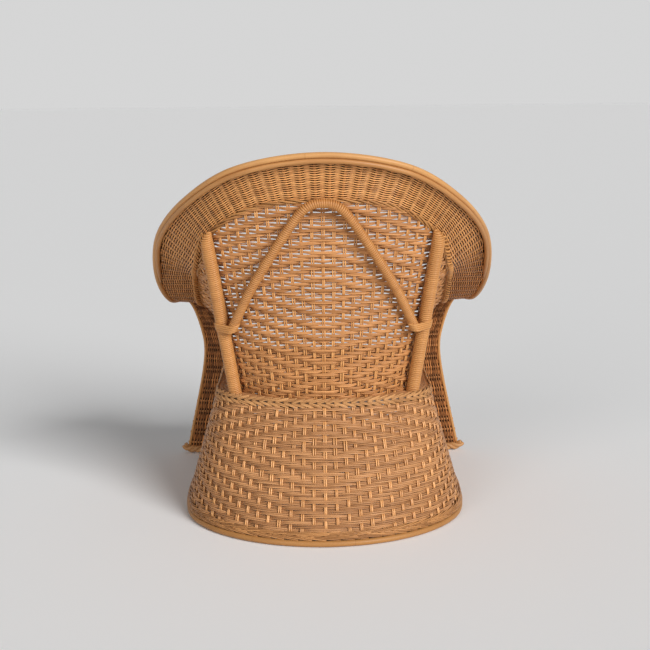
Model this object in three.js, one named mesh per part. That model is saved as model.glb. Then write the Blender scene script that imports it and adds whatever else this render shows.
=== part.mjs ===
// A low wicker peacock chair. Bent rattan poles make the frame, canes edge a wide flared strip that runs
// from floor to floor over the arms and the back, and woven panels close the tub, the skirt and the seat.
// X runs to the right as the chair is seen from behind, Y runs forward and Z runs up. Stations are measured
// from the rear middle of the floor hoop, and the finished chair is centred over its own foot.
import * as THREE from 'three';

// Heights and reaches of the bent frame
const crestHeight = 853;
const crestOverhang = 10;
const armHeight = 456;
const wingHalfWidth = 396;
const noseReach = 690;
const footLead = 62;
const footFlare = 138;
const seatHeight = 296;
const waistDrop = 8;

// The flared strip, from its edge cane in to the frame hoop
const collarWidth = 121;
const collarFlare = 34.7;
const armWidth = 101;
const lapelWidth = 76;
const lapelFootWidth = 104;

// Plan of the seat ring and of the skirt's floor hoop
const seatRear = 150;
const seatInset = 12;
const cornerInset = 44;
const cornerDepth = 83;
const skirtFlare = 92;
const skirtRoundDepth = 295;

// Poles and canes
const hoopDiameter = 18;
const postDiameter = 23;
const postHeadDrop = 6;
const braceDiameter = 16;
const edgeCaneDiameter = 13;
const faceCaneDiameter = 11;
const faceCaneDrop = 9;
const floorHoopDiameter = 14;
const seatRingDiameter = 16;
const frontRailDiameter = 20;
const crossRailDiameter = 16;
const cornerLegDiameter = 20;

// Woven panels and plaited borders
const stripThickness = 8;
const tubThickness = 9;
const tubValley = 5;
const armPanelBow = 20;
const stakePitch = 19.3;
const skirtThickness = 9;
const deckThickness = 8;
const apronThickness = 9;
const waistBraidHeight = 22;
const waistBraidThickness = 12;
const floorBraidHeight = 18;
const floorBraidThickness = 13;
const footBraidDiameter = 18;

// Windings of flat peel round the posts, the brace and their joints
const peelThickness = 1.2;
const peelGap = 1;
const postWrapTurns = 24;
const braceWrapTurns = 24;
const bindingTurns = 4;
const bindingPitch = 8;
const braceJointShare = 0.43;
const braceStandoff = 7;

// Clearance between touching pieces, and the counts that set how fine the facets are
const clearance = 0.3;
const stepsPerStation = 3;
const rodSides = 8;

const place = (across, forward, up) => new THREE.Vector3(across, forward, up);
const mix = THREE.MathUtils.lerp;
const blend = (from, to, share) => from.clone().lerp(to, share);
const towards = (from, to, distance) => from.clone().add(to.clone().sub(from).setLength(distance));
const mirrored = (point) => place(-point.x, point.y, point.z);

// Curve through stations of the right half and their mirror images; station 0 lies on the middle plane.
function symmetricCurve(stations) {
  const leftHalf = stations.slice(1).reverse().map(mirrored);
  const curve = new THREE.CatmullRomCurve3([...leftHalf, ...stations], false, 'centripetal');
  const last = stations.length - 1;
  return (station) => curve.getPoint(THREE.MathUtils.clamp((station + last) / (2 * last), 0, 1));
}

// Station numbers from one station to another: both ends, and the even steps between that every piece on
// a curve shares, so that the facets of neighbours lie side by side.
function stationsBetween(first, last, perStation = stepsPerStation) {
  const low = Math.min(first, last);
  const high = Math.max(first, last);
  const shared = [];
  for (let step = Math.ceil(low * perStation); step <= Math.floor(high * perStation); step += 1) {
    const station = step / perStation;
    if (station - low > 0.08 && high - station > 0.08) {
      shared.push(station);
    }
  }
  const stations = [low, ...shared, high];
  return first < last ? stations : stations.reverse();
}
// Curve with the straight facets that its poles have, and station numbers at even lengths along a curve.
const faceted = (curve) => (station) => {
  const step = Math.floor(station * stepsPerStation) / stepsPerStation;
  return blend(curve(step), curve(step + 1 / stepsPerStation), (station - step) * stepsPerStation);
};
function evenStations(curve, first, last, pitch) {
  const fine = Array.from({ length: 401 }, (_, step) => mix(first, last, step / 400));
  const lengths = [0];
  for (let step = 1; step < fine.length; step += 1) {
    lengths.push(lengths[step - 1] + curve(fine[step]).distanceTo(curve(fine[step - 1])));
  }
  const count = 2 * Math.round(lengths.at(-1) / pitch);
  return Array.from({ length: count + 1 }, (_, step) => (
    fine[lengths.findIndex((length) => length >= (lengths.at(-1) * step) / count - 1e-9)]));
}
// Way that a curve runs at a station.
const wayAt = (curve, station) => curve(station + 0.02).sub(curve(station - 0.02)).normalize();
// Share of a station that leaves half a clearance on each side of a seam across a curve.
const seamShare = (curve, station) => clearance / 2 / curve(station - 0.5).distanceTo(curve(station + 0.5));

// Closed skin over rings of points: side walls between rings, and a cap on the first and the last ring.
function skin(rings, capRows) {
  const count = rings[0].length;
  const positions = rings.flat().flatMap((point) => point.toArray());
  const faces = [];
  for (let ring = 0; ring + 1 < rings.length; ring += 1) {
    for (let side = 0; side < count; side += 1) {
      const next = (side + 1) % count;
      const near = ring * count;
      const far = near + count;
      faces.push(near + side, far + side, far + next, near + side, far + next, near + next);
    }
  }
  const endBase = (rings.length - 1) * count;
  for (const [a, b, c] of capRows) {
    faces.push(a, b, c, endBase + a, endBase + c, endBase + b);
  }
  const geometry = new THREE.BufferGeometry();
  geometry.setAttribute('position', new THREE.Float32BufferAttribute(positions, 3));
  geometry.setIndex(enclosedVolume(positions, faces) < 0 ? faces.reverse() : faces);
  geometry.computeVertexNormals();
  return geometry;
}

// Volume inside a closed skin, negative where its faces point inwards.
function enclosedVolume(positions, faces) {
  const corner = (index) => new THREE.Vector3().fromArray(positions, index * 3);
  let sum = 0;
  for (let face = 0; face < faces.length; face += 3) {
    sum += corner(faces[face]).dot(corner(faces[face + 1]).cross(corner(faces[face + 2])));
  }
  return sum / 6;
}

// Triangles of a fan over a convex ring, and of a strip over a thin ring with a near and a far row.
const fanCap = (count) => Array.from({ length: count - 2 }, (_, side) => [0, side + 1, side + 2]);
const stripCap = (rowLength) => {
  const rows = [];
  for (let column = 0; column + 1 < rowLength; column += 1) {
    const across = 2 * rowLength - 1 - column;
    rows.push([column, column + 1, across - 1], [column, across - 1, across]);
  }
  return rows;
};

// Path with frames that turn with it and never spin about it, read by the length along it.
function makeTrack(points, reference, ways, normals) {
  const lengths = [0];
  for (let step = 1; step < points.length; step += 1) {
    lengths.push(lengths[step - 1] + points[step].distanceTo(points[step - 1]));
  }
  const frames = [];
  let normal = reference.clone();
  points.forEach((point, step) => {
    const before = points[Math.max(0, step - 1)];
    const after = points[Math.min(points.length - 1, step + 1)];
    const tangent = ways ? ways[step] : after.clone().sub(before).normalize();
    normal = normals ? normals[step].clone() : normal.clone();
    normal.addScaledVector(tangent, -normal.dot(tangent)).normalize();
    frames.push({ point, tangent, normal, side: tangent.clone().cross(normal) });
  });
  const total = lengths.at(-1);
  const at = (length) => {
    const after = lengths.findIndex((value) => value >= length);
    const end = THREE.MathUtils.clamp(after < 0 ? points.length - 1 : after, 1, points.length - 1);
    const share = (length - lengths[end - 1]) / (lengths[end] - lengths[end - 1]);
    const mixed = (key) => blend(frames[end - 1][key], frames[end][key], share);
    return { point: mixed('point'), normal: mixed('normal').normalize(), side: mixed('side').normalize() };
  };
  return { frames, total, at };
}

// Ring of section offsets [along normal, along side] at a frame.
const sectionRing = (frame, section) => section.map(([up, out]) => frame.point.clone()
  .addScaledVector(frame.normal, up).addScaledVector(frame.side, out));

// Ellipse with a flat at each end of its first axis.
function ellipse(height, width, sides = rodSides) {
  return Array.from({ length: sides }, (_, side) => {
    const angle = ((side + 0.5) / sides) * 2 * Math.PI;
    return [(Math.cos(angle) * height) / 2 / Math.cos(Math.PI / sides), (Math.sin(angle) * width) / 2];
  });
}
const round = (diameter, sides = rodSides) => Array.from({ length: sides }, (_, side) => {
  const angle = ((side + 0.5) / sides) * 2 * Math.PI;
  return [(Math.cos(angle) * diameter) / 2, (Math.sin(angle) * diameter) / 2];
});

// Slides the points of an end ring along the rod until they lie at one height, for a foot sawn level.
function sawLevel(ring, direction, height) {
  for (const point of ring) {
    point.addScaledVector(direction, (height - point.z) / direction.z);
  }
}

// Solid rod of one section along points, its ends square to the given ways or sawn level.
function rod(points, section, reference, { startLevel, endLevel, ways, normals } = {}) {
  const { frames } = makeTrack(points, reference, ways, normals);
  const rings = frames.map((frame) => sectionRing(frame, section));
  if (startLevel !== undefined) {
    sawLevel(rings[0], frames[0].tangent, startLevel);
  }
  if (endLevel !== undefined) {
    sawLevel(rings.at(-1), frames.at(-1).tangent, endLevel);
  }
  return skin(rings, fanCap(section.length));
}

// Surface of straight rulings between two edges, which stop short of the round pole along each edge.
function ruled(fromEdge, toEdge, fromGap, toGap) {
  const stopped = (edge, station, target, gap) => {
    const slant = target.clone().sub(edge(station)).normalize().cross(wayAt(edge, station)).length();
    return towards(edge(station), target, gap / slant);
  };
  return (station, share) => blend(
    stopped(fromEdge, station, toEdge(station), fromGap),
    stopped(toEdge, station, fromEdge(station), toGap),
    share,
  );
}

// Closed panel over a surface, with a row at each station and a few columns across. Rows may alternate
// between two thicknesses, which makes ribs.
function panel(stations, surface, thickness, columns = 2, valley = thickness) {
  const rings = stations.map((station, row) => {
    const half = (row % 2 ? thickness : valley) / 2;
    const upper = [];
    const lower = [];
    const across = surface(station, 1).sub(surface(station, 0));
    for (let column = 0; column <= columns; column += 1) {
      const share = column / columns;
      const along = wayAt((at) => surface(at, share), station);
      const normal = along.cross(across).setLength(half);
      upper.push(surface(station, share).add(normal));
      lower.unshift(surface(station, share).sub(normal));
    }
    return [...upper, ...lower];
  });
  return skin(rings, stripCap(columns + 1));
}

// One flat peel wound round a track between two lengths: turns that lie side by side without touching.
function winding(track, from, to, turns, innerRadius, stepsPerTurn, columns) {
  const pitch = (to - from) / (turns + 1);
  const width = pitch - peelGap;
  const count = turns * stepsPerTurn;
  const rings = [];
  for (let step = 0; step <= count; step += 1) {
    const turn = step / stepsPerTurn;
    const angle = turn * 2 * Math.PI;
    const middle = from + pitch * (turn + 0.5);
    const row = (radius) => Array.from({ length: columns + 1 }, (_, column) => {
      const frame = track.at(middle + width * (column / columns - 0.5));
      return frame.point.addScaledVector(frame.normal, Math.cos(angle) * radius)
        .addScaledVector(frame.side, Math.sin(angle) * radius);
    });
    rings.push([...row(innerRadius), ...row(innerRadius + peelThickness).reverse()]);
  }
  return { geometry: skin(rings, stripCap(columns + 1)), rings, stepsPerTurn };
}

// Least distance between the edges of neighbouring turns, measured on their points.
function leastTurnGap({ rings, stepsPerTurn }) {
  let least = Infinity;
  for (let step = 0; step + stepsPerTurn < rings.length; step += 1) {
    for (const point of rings[step]) {
      for (const other of rings[step + stepsPerTurn]) {
        least = Math.min(least, point.distanceTo(other));
      }
    }
  }
  return least;
}

// Half widths of the seat, its rear corners, the feet and the skirt all follow the shoulders. The feet
// stand ahead of the arms, and the waist lies just below the seat.
const shoulderHalfWidth = 0.739 * wingHalfWidth - 0.427 * collarWidth;
const seatHalfWidth = shoulderHalfWidth - seatInset;
const cornerHalfWidth = seatHalfWidth - cornerInset;
const footHalfWidth = seatHalfWidth + footFlare;
const skirtHalfWidth = seatHalfWidth + skirtFlare;
const cornerReach = seatRear + cornerDepth;
const footReach = noseReach + footLead;
const waistHeight = seatHeight - waistDrop;

// Rim: the edge cane's centre line from the crest over the arm to the foot.
const backRise = crestHeight - armHeight;
const rimStations = [
  place(0, -crestOverhang, crestHeight),
  place(0.455 * wingHalfWidth, 0.0435 * noseReach - crestOverhang, crestHeight - 0.072 * backRise),
  place(0.739 * wingHalfWidth, 0.159 * noseReach, crestHeight - 0.248 * backRise),
  place(0.938 * wingHalfWidth, 0.362 * noseReach, crestHeight - 0.489 * backRise),
  place(wingHalfWidth, 0.58 * noseReach, crestHeight - 0.777 * backRise),
  place(0.965 * wingHalfWidth, 0.812 * noseReach, armHeight),
  place(0.869 * wingHalfWidth, noseReach, mix(seatHeight, armHeight, 0.825)),
  place(seatHalfWidth + 1.16 * lapelWidth, noseReach + 0.29 * footLead, mix(seatHeight, armHeight, 0.34)),
  place(seatHalfWidth + 1.066 * lapelWidth, noseReach + 0.355 * footLead, waistHeight),
  place(footHalfWidth, footReach, 0),
];
// Frame hoop: where the strip's inner edge lies, given as the way in from the rim at each station.
const flare = THREE.MathUtils.degToRad(collarFlare);
const stripWays = [
  place(0, collarWidth * Math.sin(flare), -collarWidth * Math.cos(flare)),
  place(-0.285 * collarWidth, 0.443 * collarWidth, -0.704 * collarWidth),
  place(-0.427 * collarWidth, 0.142 * collarWidth, -0.617 * collarWidth),
  place(-0.9 * armWidth, 0, -0.762 * armWidth),
  place(-armWidth, 0, -0.06 * armWidth),
  place(-0.812 * armWidth, 0, -0.06 * armWidth),
  place(-0.71 * lapelWidth, -0.29 * lapelWidth, -0.053 * lapelWidth),
  place(-0.816 * lapelWidth, -0.237 * lapelWidth, 0),
  place(-0.974 * lapelWidth, -0.237 * lapelWidth, 0),
  place(-lapelFootWidth, -0.21 * lapelFootWidth, 0),
];
const rimAt = symmetricCurve(rimStations);
const hoopAt = symmetricCurve(rimStations.map((station, index) => station.clone().add(stripWays[index])));
const crest = 0;
const shoulder = 2;
const wing = 3;
const nose = 6;
const waist = 8;
const foot = 9;
const hoopRadius = hoopDiameter / 2;
const edgeRadius = edgeCaneDiameter / 2;

// Seat ring, just inside the posts; the tub stands on it.
const ringRadius = seatRingDiameter / 2;
const legAtSeat = hoopAt(waist);
const ringHeight = seatHeight - clearance - ringRadius;
const legRear = legAtSeat.y - hoopRadius - clearance;
const ringStations = [
  place(0, seatRear, ringHeight),
  place(0.615 * cornerHalfWidth, mix(seatRear, cornerReach, 0.32), ringHeight),
  place(cornerHalfWidth, cornerReach, ringHeight),
  place(mix(cornerHalfWidth, seatHalfWidth, 0.68), mix(cornerReach, legRear, 0.14), ringHeight),
  place(mix(cornerHalfWidth, seatHalfWidth, 0.91), mix(cornerReach, legRear, 0.393), ringHeight),
  place(seatHalfWidth, mix(cornerReach, legRear, 0.727), ringHeight),
  place(seatHalfWidth, legRear, ringHeight),
];
const ringAt = symmetricCurve(ringStations);
const ringFront = 6;

// Waist line of the skirt, outside the ring and the posts, and the floor hoop below it.
const waistLedge = ringRadius + waistBraidThickness / 2 + 3 * clearance;
const sideLedge = waistLedge + waistBraidThickness / 6;
const waistStations = [
  place(0, seatRear - waistLedge, waistHeight),
  place(0.615 * cornerHalfWidth, mix(seatRear, cornerReach, 0.036), waistHeight),
  place(cornerHalfWidth + 1.15 * postDiameter, cornerReach - 1.48 * postDiameter, waistHeight),
  place(seatHalfWidth + waistLedge, mix(cornerReach, legRear, 0.038), waistHeight),
  place(seatHalfWidth + sideLedge, mix(cornerReach, legRear, 0.249), waistHeight),
  place(seatHalfWidth + sideLedge, mix(cornerReach, legRear, 0.549), waistHeight),
  place(seatHalfWidth + waistLedge, mix(cornerReach, legRear, 0.816), waistHeight),
  place(seatHalfWidth + waistLedge, legRear, waistHeight),
];
const skirtFront = 7;
const waistAt = symmetricCurve(waistStations);
const floorHoopRadius = floorHoopDiameter / 2;
const onSkirtRound = (degrees) => place(
  skirtHalfWidth * Math.sin(THREE.MathUtils.degToRad(degrees)),
  skirtRoundDepth * (1 - Math.cos(THREE.MathUtils.degToRad(degrees))),
  floorHoopRadius,
);
const braidTop = floorHoopDiameter + clearance + floorBraidHeight;
const footPoint = hoopAt(foot);
const legAboveBraid = blend(footPoint, legAtSeat, braidTop / legAtSeat.z);
const lastSkirtStation = place(
  0.945 * skirtHalfWidth, mix(skirtRoundDepth, footPoint.y, 0.724), floorHoopRadius);
const legFace = place(legAboveBraid.x, legAboveBraid.y, floorHoopRadius);
const floorStations = [
  ...[0, 22.5, 45, 67.5, 90].map(onSkirtRound),
  place(skirtHalfWidth, mix(skirtRoundDepth, footPoint.y, 0.356), floorHoopRadius),
  lastSkirtStation,
  towards(legFace, lastSkirtStation, hoopRadius + clearance),
];
const floorAt = symmetricCurve(floorStations);
// The floor plait lies on the hoop in the slope of the skirt.
const skirtWay = (station) => waistAt(station).sub(floorAt(station)).normalize();
const floorBraidRise = floorHoopRadius / Math.cos(Math.PI / rodSides) + 2 * clearance + floorBraidHeight / 2;
const floorBraidAt = (station) => floorAt(station).addScaledVector(skirtWay(station), floorBraidRise);

const chair = new THREE.Group();
const finishes = {
  cane: { color: 0xb9803f, roughness: 0.5 },
  pole: { color: 0xa9743a, roughness: 0.55 },
  peel: { color: 0xc58f4a, roughness: 0.42 },
  fineWeave: { color: 0x9b6632, roughness: 0.6 },
  twill: { color: 0xb57e45, roughness: 0.58 },
  plait: { color: 0xa87440, roughness: 0.58 },
};
function add(name, geometry, finish) {
  const material = new THREE.MeshStandardMaterial({ ...finishes[finish], metalness: 0 });
  const mesh = new THREE.Mesh(geometry, material);
  mesh.name = name;
  chair.add(mesh);
}
// Adds a piece on each side; the maker gets 1 for the right and -1 for the left.
function addPair(name, finish, maker) {
  add(`${name}_right`, maker(1), finish);
  add(`${name}_left`, maker(-1), finish);
}
const up = place(0, 0, 1);
const ahead = place(0, 1, 0);
const aside = place(1, 0, 0);

// Frame hoop in three bent poles, spliced end to end at the wings: the crest and two arm bows with legs.
const spliceShare = seamShare(hoopAt, wing);
function hoopPole(first, last, reference, ends) {
  const stations = stationsBetween(first, last);
  const ways = stations.map((station) => wayAt(hoopAt, station).multiplyScalar(Math.sign(last - first)));
  return rod(stations.map(hoopAt), round(hoopDiameter), reference, { ways, ...ends });
}
add('crest_hoop', hoopPole(-wing + spliceShare, wing - spliceShare, ahead), 'pole');
addPair('arm_bow', 'pole', (side) => (
  hoopPole(side * (wing + spliceShare), side * foot, aside, { endLevel: 0 })));

// Edge cane from foot to foot; it stands on the plaited borders at the feet of the lapels.
const footBraidTop = footBraidDiameter + clearance;
const caneFoot = foot - footBraidTop / waistHeight;
const edgeStations = stationsBetween(-caneFoot, caneFoot);
add('rim_cane_edge', rod(edgeStations.map(rimAt), round(edgeCaneDiameter), aside, {
  startLevel: footBraidTop,
  endLevel: footBraidTop,
}), 'cane');

// Face canes nailed along the collar below the edge cane, one behind the strip and one before it.
const faceRadius = faceCaneDiameter / 2;
const faceReach = Math.sqrt((edgeRadius + faceRadius + clearance) ** 2 - faceCaneDrop ** 2);
function faceCanePoint(station, direction) {
  const rim = rimAt(station);
  const inwards = hoopAt(station).sub(rim).normalize();
  const backwards = wayAt(rimAt, station).cross(inwards).setLength(-faceReach * direction);
  return rim.addScaledVector(inwards, faceCaneDrop).add(backwards);
}
const faceEnd = wing - 0.03;
const faceStations = stationsBetween(-faceEnd, faceEnd);
for (const [name, direction] of [['rim_cane_rear', 1], ['rim_cane_front', -1]]) {
  const points = faceStations.map((station) => faceCanePoint(station, direction));
  add(name, rod(points, round(faceCaneDiameter), ahead), 'cane');
}

// The woven strip: collar, arms and lapels, each between the edge cane and the frame hoop.
const wingSeam = 2 * seamShare(hoopAt, wing);
const noseSeam = 2 * seamShare(hoopAt, nose);
const hoopGap = hoopRadius + 2 * clearance;
const collarSurface = ruled(rimAt, hoopAt, faceCaneDrop + faceRadius + clearance, hoopGap);
const stripSurface = ruled(rimAt, hoopAt, edgeRadius + 2 * clearance, hoopGap);
const collarStations = stationsBetween(-wing + wingSeam, wing - wingSeam);
add('collar_weave', panel(collarStations, collarSurface, stripThickness), 'fineWeave');
addPair('arm_weave', 'fineWeave', (side) => {
  const stations = stationsBetween(side * (wing + wingSeam), side * (nose - noseSeam));
  return panel(stations, stripSurface, stripThickness);
});
const lapelFoot = foot - (footBraidTop + stripThickness / 2) / waistHeight;
addPair('lapel', 'fineWeave', (side) => {
  const stations = stationsBetween(side * (nose + noseSeam), side * lapelFoot);
  return panel(stations, stripSurface, stripThickness);
});
addPair('foot_braid', 'plait', (side) => {
  const inner = place(side * footPoint.x, footPoint.y, footBraidDiameter / 2);
  const rimFoot = rimAt(side * foot);
  const outer = place(rimFoot.x + (side * footBraidDiameter) / 2, rimFoot.y, footBraidDiameter / 2);
  const start = towards(inner, outer, hoopRadius + 3 * clearance);
  return rod([start, outer], ellipse(footBraidDiameter, footBraidDiameter), up);
});

// Tub: the back between the posts and the arms' side panels, standing on the seat ring. Their stakes show
// as upright ribs.
const lean = (low, high) => Math.hypot(high.x - low.x, high.y - low.y) / high.distanceTo(low);
const tubFoot = (station) => {
  const ring = ringAt(station);
  return ring.setZ(seatHeight + (lean(ring, hoopAt(station)) * tubThickness) / 2);
};
const tubSurface = ruled(faceted(tubFoot), faceted(hoopAt), 0, hoopGap + 2 * clearance);
const tubColumns = 3;
const cornerSeam = seamShare(ringAt, shoulder);
const backStations = evenStations(ringAt, -shoulder + cornerSeam, shoulder - cornerSeam, stakePitch);
add('back_panel', panel(backStations, tubSurface, tubThickness, tubColumns, tubValley), 'twill');
// The arm panels bow inwards below the arm. Towards the front they bend down with its pole, and end along
// its leg.
const frontRow = (side, share) => {
  const bow = hoopAt(side * mix(waist - 0.2, nose + 0.3, share));
  return bow.setY(bow.y - hoopRadius - tubThickness / 2);
};
const frontBend = 5;
const armPanelSurface = (station, share) => {
  const side = Math.sign(station);
  const turn = Math.max(0, (Math.abs(station) - frontBend) / (nose - frontBend));
  const onset = THREE.MathUtils.smoothstep(Math.abs(station), shoulder, wing);
  const hollow = onset * Math.sin(Math.PI * share ** 1.5);
  const wall = tubSurface(station, share);
  wall.setX(wall.x - side * armPanelBow * hollow);
  return blend(wall, frontRow(side, share), turn ** 3);
};
addPair('arm_panel', 'twill', (side) => {
  const stations = evenStations(ringAt, side * (shoulder + cornerSeam), side * nose, stakePitch);
  return panel(stations, armPanelSurface, tubThickness, tubColumns, tubValley);
});

// Rear posts: straight beside the tub's corner, bent below the seat, and down inside the skirt.
const postRadius = postDiameter / 2;
const wrapSteps = 8;
const wrapInner = (postRadius + 0.35) / Math.cos(Math.PI / wrapSteps);
const wrappedRadius = wrapInner + peelThickness;
const cornerWay = wayAt(ringAt, shoulder);
const cornerOut = place(cornerWay.y, -cornerWay.x, 0);
const bindingEase = 1.5;
const bindingReach = wrappedRadius + bindingEase + peelThickness;
const postStandoff = Math.max(ringRadius + postRadius, tubThickness / 2 + bindingReach) + 3 * clearance;
const postAtSeat = ringAt(shoulder).addScaledVector(cornerOut, postStandoff);
const cornerRise = hoopAt(shoulder).sub(tubFoot(shoulder));
const shoulderOut = wayAt(hoopAt, shoulder).cross(cornerRise).normalize();
const postAtHoop = hoopAt(shoulder).addScaledVector(shoulderOut, hoopRadius + wrappedRadius + clearance);
const postEnd = towards(postAtHoop, postAtSeat, postHeadDrop);
const skirtMiddle = place(0, skirtRoundDepth, floorHoopRadius);
const insideSkirt = (station, radius) => {
  const reach = (radius + floorBraidThickness / 2 + 2 * clearance) / skirtWay(station).z ** 2;
  return towards(floorAt(station), skirtMiddle, reach).setZ(0);
};
const postFoot = insideSkirt(shoulder, postRadius);
const bendStart = towards(postAtSeat, postEnd, -0.104 * waistHeight);
const bendEnd = blend(bendStart, postFoot, 0.3);
const bendCorner = towards(postAtSeat, postEnd, -0.208 * waistHeight);
const postPath = [
  ...new THREE.QuadraticBezierCurve3(bendEnd, bendCorner, bendStart).getPoints(5),
  postAtSeat,
  ...[0.2, 0.4, 0.6, 0.8, 1].map((share) => blend(postAtSeat, postEnd, share)),
];
const sided = (points, side) => points.map((point) => place(side * point.x, point.y, point.z));
addPair('rear_post', 'pole', (side) => (
  rod(sided([postFoot, ...postPath], side), round(postDiameter, 10), ahead, { startLevel: 0 })));

// Peel wound round each post from the waist to the collar.
const wrapStart = waistHeight + waistBraidHeight / 2 + 0.45 * postRadius;
const wrapTurnsApart = {};
addPair('post_wrap', 'peel', (side) => {
  const track = makeTrack(sided([postAtSeat, postEnd], side), ahead);
  const rise = (postEnd.z - postAtSeat.z) / track.total;
  const from = (wrapStart - postAtSeat.z) / rise;
  const wrap = winding(track, from, track.total, postWrapTurns, wrapInner, wrapSteps, 1);
  wrapTurnsApart[`post ${side}`] = leastTurnGap(wrap);
  return wrap.geometry;
});

// Brace: one bent cane from post to post, up over the back to the crest hoop.
const braceRadius = braceDiameter / 2;
const braceSteps = 8;
const braceWrapInner = (braceRadius + 0.7) / Math.cos(Math.PI / braceSteps);
const braceWrapped = braceWrapInner + peelThickness;
const behindTub = (station, share) => {
  const point = blend(tubFoot(station), hoopAt(station), share);
  const along = wayAt((at) => blend(tubFoot(at), hoopAt(at), share), station);
  const back = along.cross(hoopAt(station).sub(tubFoot(station))).normalize();
  return point.addScaledVector(back, tubThickness / 2 + braceWrapped + braceStandoff);
};
const apexWay = place(0, -0.96, -0.28).setLength(hoopRadius + braceWrapped - clearance);
const postAtJoint = blend(postAtSeat, postEnd, braceJointShare);
const jointWay = place(-0.62, -0.79, 0).normalize();
const braceJoint = postAtJoint.clone()
  .addScaledVector(jointWay, (wrappedRadius + braceWrapped + clearance) * 1.06);
const apexPoint = hoopAt(crest).add(apexWay);
const braceLeg = [
  apexPoint,
  place(1.44 * braceDiameter, apexPoint.y, apexPoint.z - 0.19 * braceDiameter),
  place(2.72 * braceDiameter, apexPoint.y + 0.11 * braceDiameter, apexPoint.z - braceDiameter),
  behindTub(0.76, 0.765),
  behindTub(1.22, 0.6),
  blend(behindTub(1.22, 0.6), braceJoint, 0.55),
  braceJoint,
];
const braceCurve = new THREE.CatmullRomCurve3([...sided(braceLeg.slice(1).reverse(), -1), ...braceLeg]);
const bracePoints = braceCurve.getSpacedPoints(44);
add('back_brace', rod(bracePoints, round(braceDiameter), ahead), 'pole');
const braceTrack = makeTrack(braceCurve.getSpacedPoints(160), ahead);
const bindingCover = 5 * bindingPitch;
const braceWinding = winding(
  braceTrack, bindingCover, braceTrack.total - bindingCover, braceWrapTurns, braceWrapInner, braceSteps, 2);
wrapTurnsApart.brace = leastTurnGap(braceWinding);
add('brace_wrap', braceWinding.geometry, 'peel');

// Bindings: peel wound round post and brace together where they meet.
const bindingSteps = 16;
addPair('brace_binding', 'peel', (side) => {
  const axis = sided([postAtSeat, postEnd], side);
  const rise = axis[1].clone().sub(axis[0]).normalize();
  const joint = sided([braceJoint], side)[0];
  const leg = sided([braceCurve.getPointAt(0.93)], side)[0].sub(joint).normalize();
  const stretch = 1 / leg.dot(rise);
  const normal = aside.clone().addScaledVector(rise, -aside.dot(rise)).setLength(side);
  const across = rise.clone().cross(normal).multiplyScalar(side);
  const middle = sided([postAtJoint], side)[0];
  const braceHalf = braceWrapped * stretch + bindingEase;
  const postHalf = wrappedRadius + bindingEase;
  const jointLevel = joint.clone().sub(middle).dot(rise);
  const outline = (climb, angle, reach) => {
    const centre = middle.clone().addScaledVector(rise, climb);
    const way = normal.clone().multiplyScalar(Math.cos(angle)).addScaledVector(across, Math.sin(angle));
    const legCentre = joint.clone().addScaledVector(leg, (climb - jointLevel) * stretch);
    const postSupport = centre.dot(way) + postHalf;
    const legSupport = legCentre.dot(way) + braceHalf;
    return postSupport > legSupport
      ? centre.addScaledVector(way, postHalf + reach)
      : legCentre.addScaledVector(way, braceHalf + reach);
  };
  const width = bindingPitch - peelGap;
  const rings = [];
  for (let step = 0; step <= bindingTurns * bindingSteps; step += 1) {
    const angle = (step / bindingSteps) * 2 * Math.PI;
    const climb = bindingPitch * (step / bindingSteps - bindingTurns / 2 + 1);
    rings.push([
      outline(climb - width / 2, angle, 0),
      outline(climb + width / 2, angle, 0),
      outline(climb + width / 2, angle, peelThickness),
      outline(climb - width / 2, angle, peelThickness),
    ]);
  }
  wrapTurnsApart[`binding ${side}`] = leastTurnGap({ rings, stepsPerTurn: bindingSteps });
  return skin(rings, fanCap(4));
});
for (const [name, gap] of Object.entries(wrapTurnsApart)) {
  console.log(`least gap between turns, ${name}: ${gap.toFixed(2)} mm`);
}

// Seat: a ring under the tub, a rail between the front legs, two cross rails and a woven deck.
const ringStationsList = stationsBetween(-ringFront, ringFront);
add('seat_ring', rod(ringStationsList.map(ringAt), round(seatRingDiameter), up), 'pole');
const frontRailRadius = frontRailDiameter / 2;
const frontRailHeight = seatHeight - clearance - frontRailRadius;
const railHalf = legAtSeat.x - hoopRadius - clearance - 1;
add('front_seat_rail', rod([
  place(-railHalf, legAtSeat.y, frontRailHeight),
  place(railHalf, legAtSeat.y, frontRailHeight),
], round(frontRailDiameter), up), 'pole');
const crossHeight = seatHeight - clearance - crossRailDiameter / 2;
for (const [name, station] of [['rear_cross_rail', 3.5], ['front_cross_rail', 4.8]]) {
  const end = ringAt(station);
  const half = end.x - ringRadius - 2 * clearance;
  add(name, rod([
    place(-half, end.y, crossHeight),
    place(half, end.y, crossHeight),
  ], round(crossRailDiameter), up), 'pole');
}
const deckInset = tubThickness / 2 + 5 * clearance;
const deckEdge = stationsBetween(-ringFront + 0.15, ringFront - 0.15).map((station) => {
  const along = wayAt(ringAt, station);
  return ringAt(station).add(place(-along.y, along.x, 0).setLength(deckInset));
});
const deckShape = new THREE.Shape(deckEdge.map((point) => new THREE.Vector2(point.x, point.y)));
deckShape.lineTo(deckEdge.at(-1).x, legRear);
deckShape.lineTo(railHalf, legRear);
deckShape.lineTo(railHalf, legAtSeat.y + frontRailRadius);
deckShape.lineTo(-railHalf, legAtSeat.y + frontRailRadius);
deckShape.lineTo(-railHalf, legRear);
deckShape.lineTo(deckEdge[0].x, legRear);
const deck = new THREE.ExtrudeGeometry(deckShape, { depth: deckThickness, bevelEnabled: false });
add('seat_deck', deck.translate(0, 0, seatHeight), 'twill');

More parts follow.
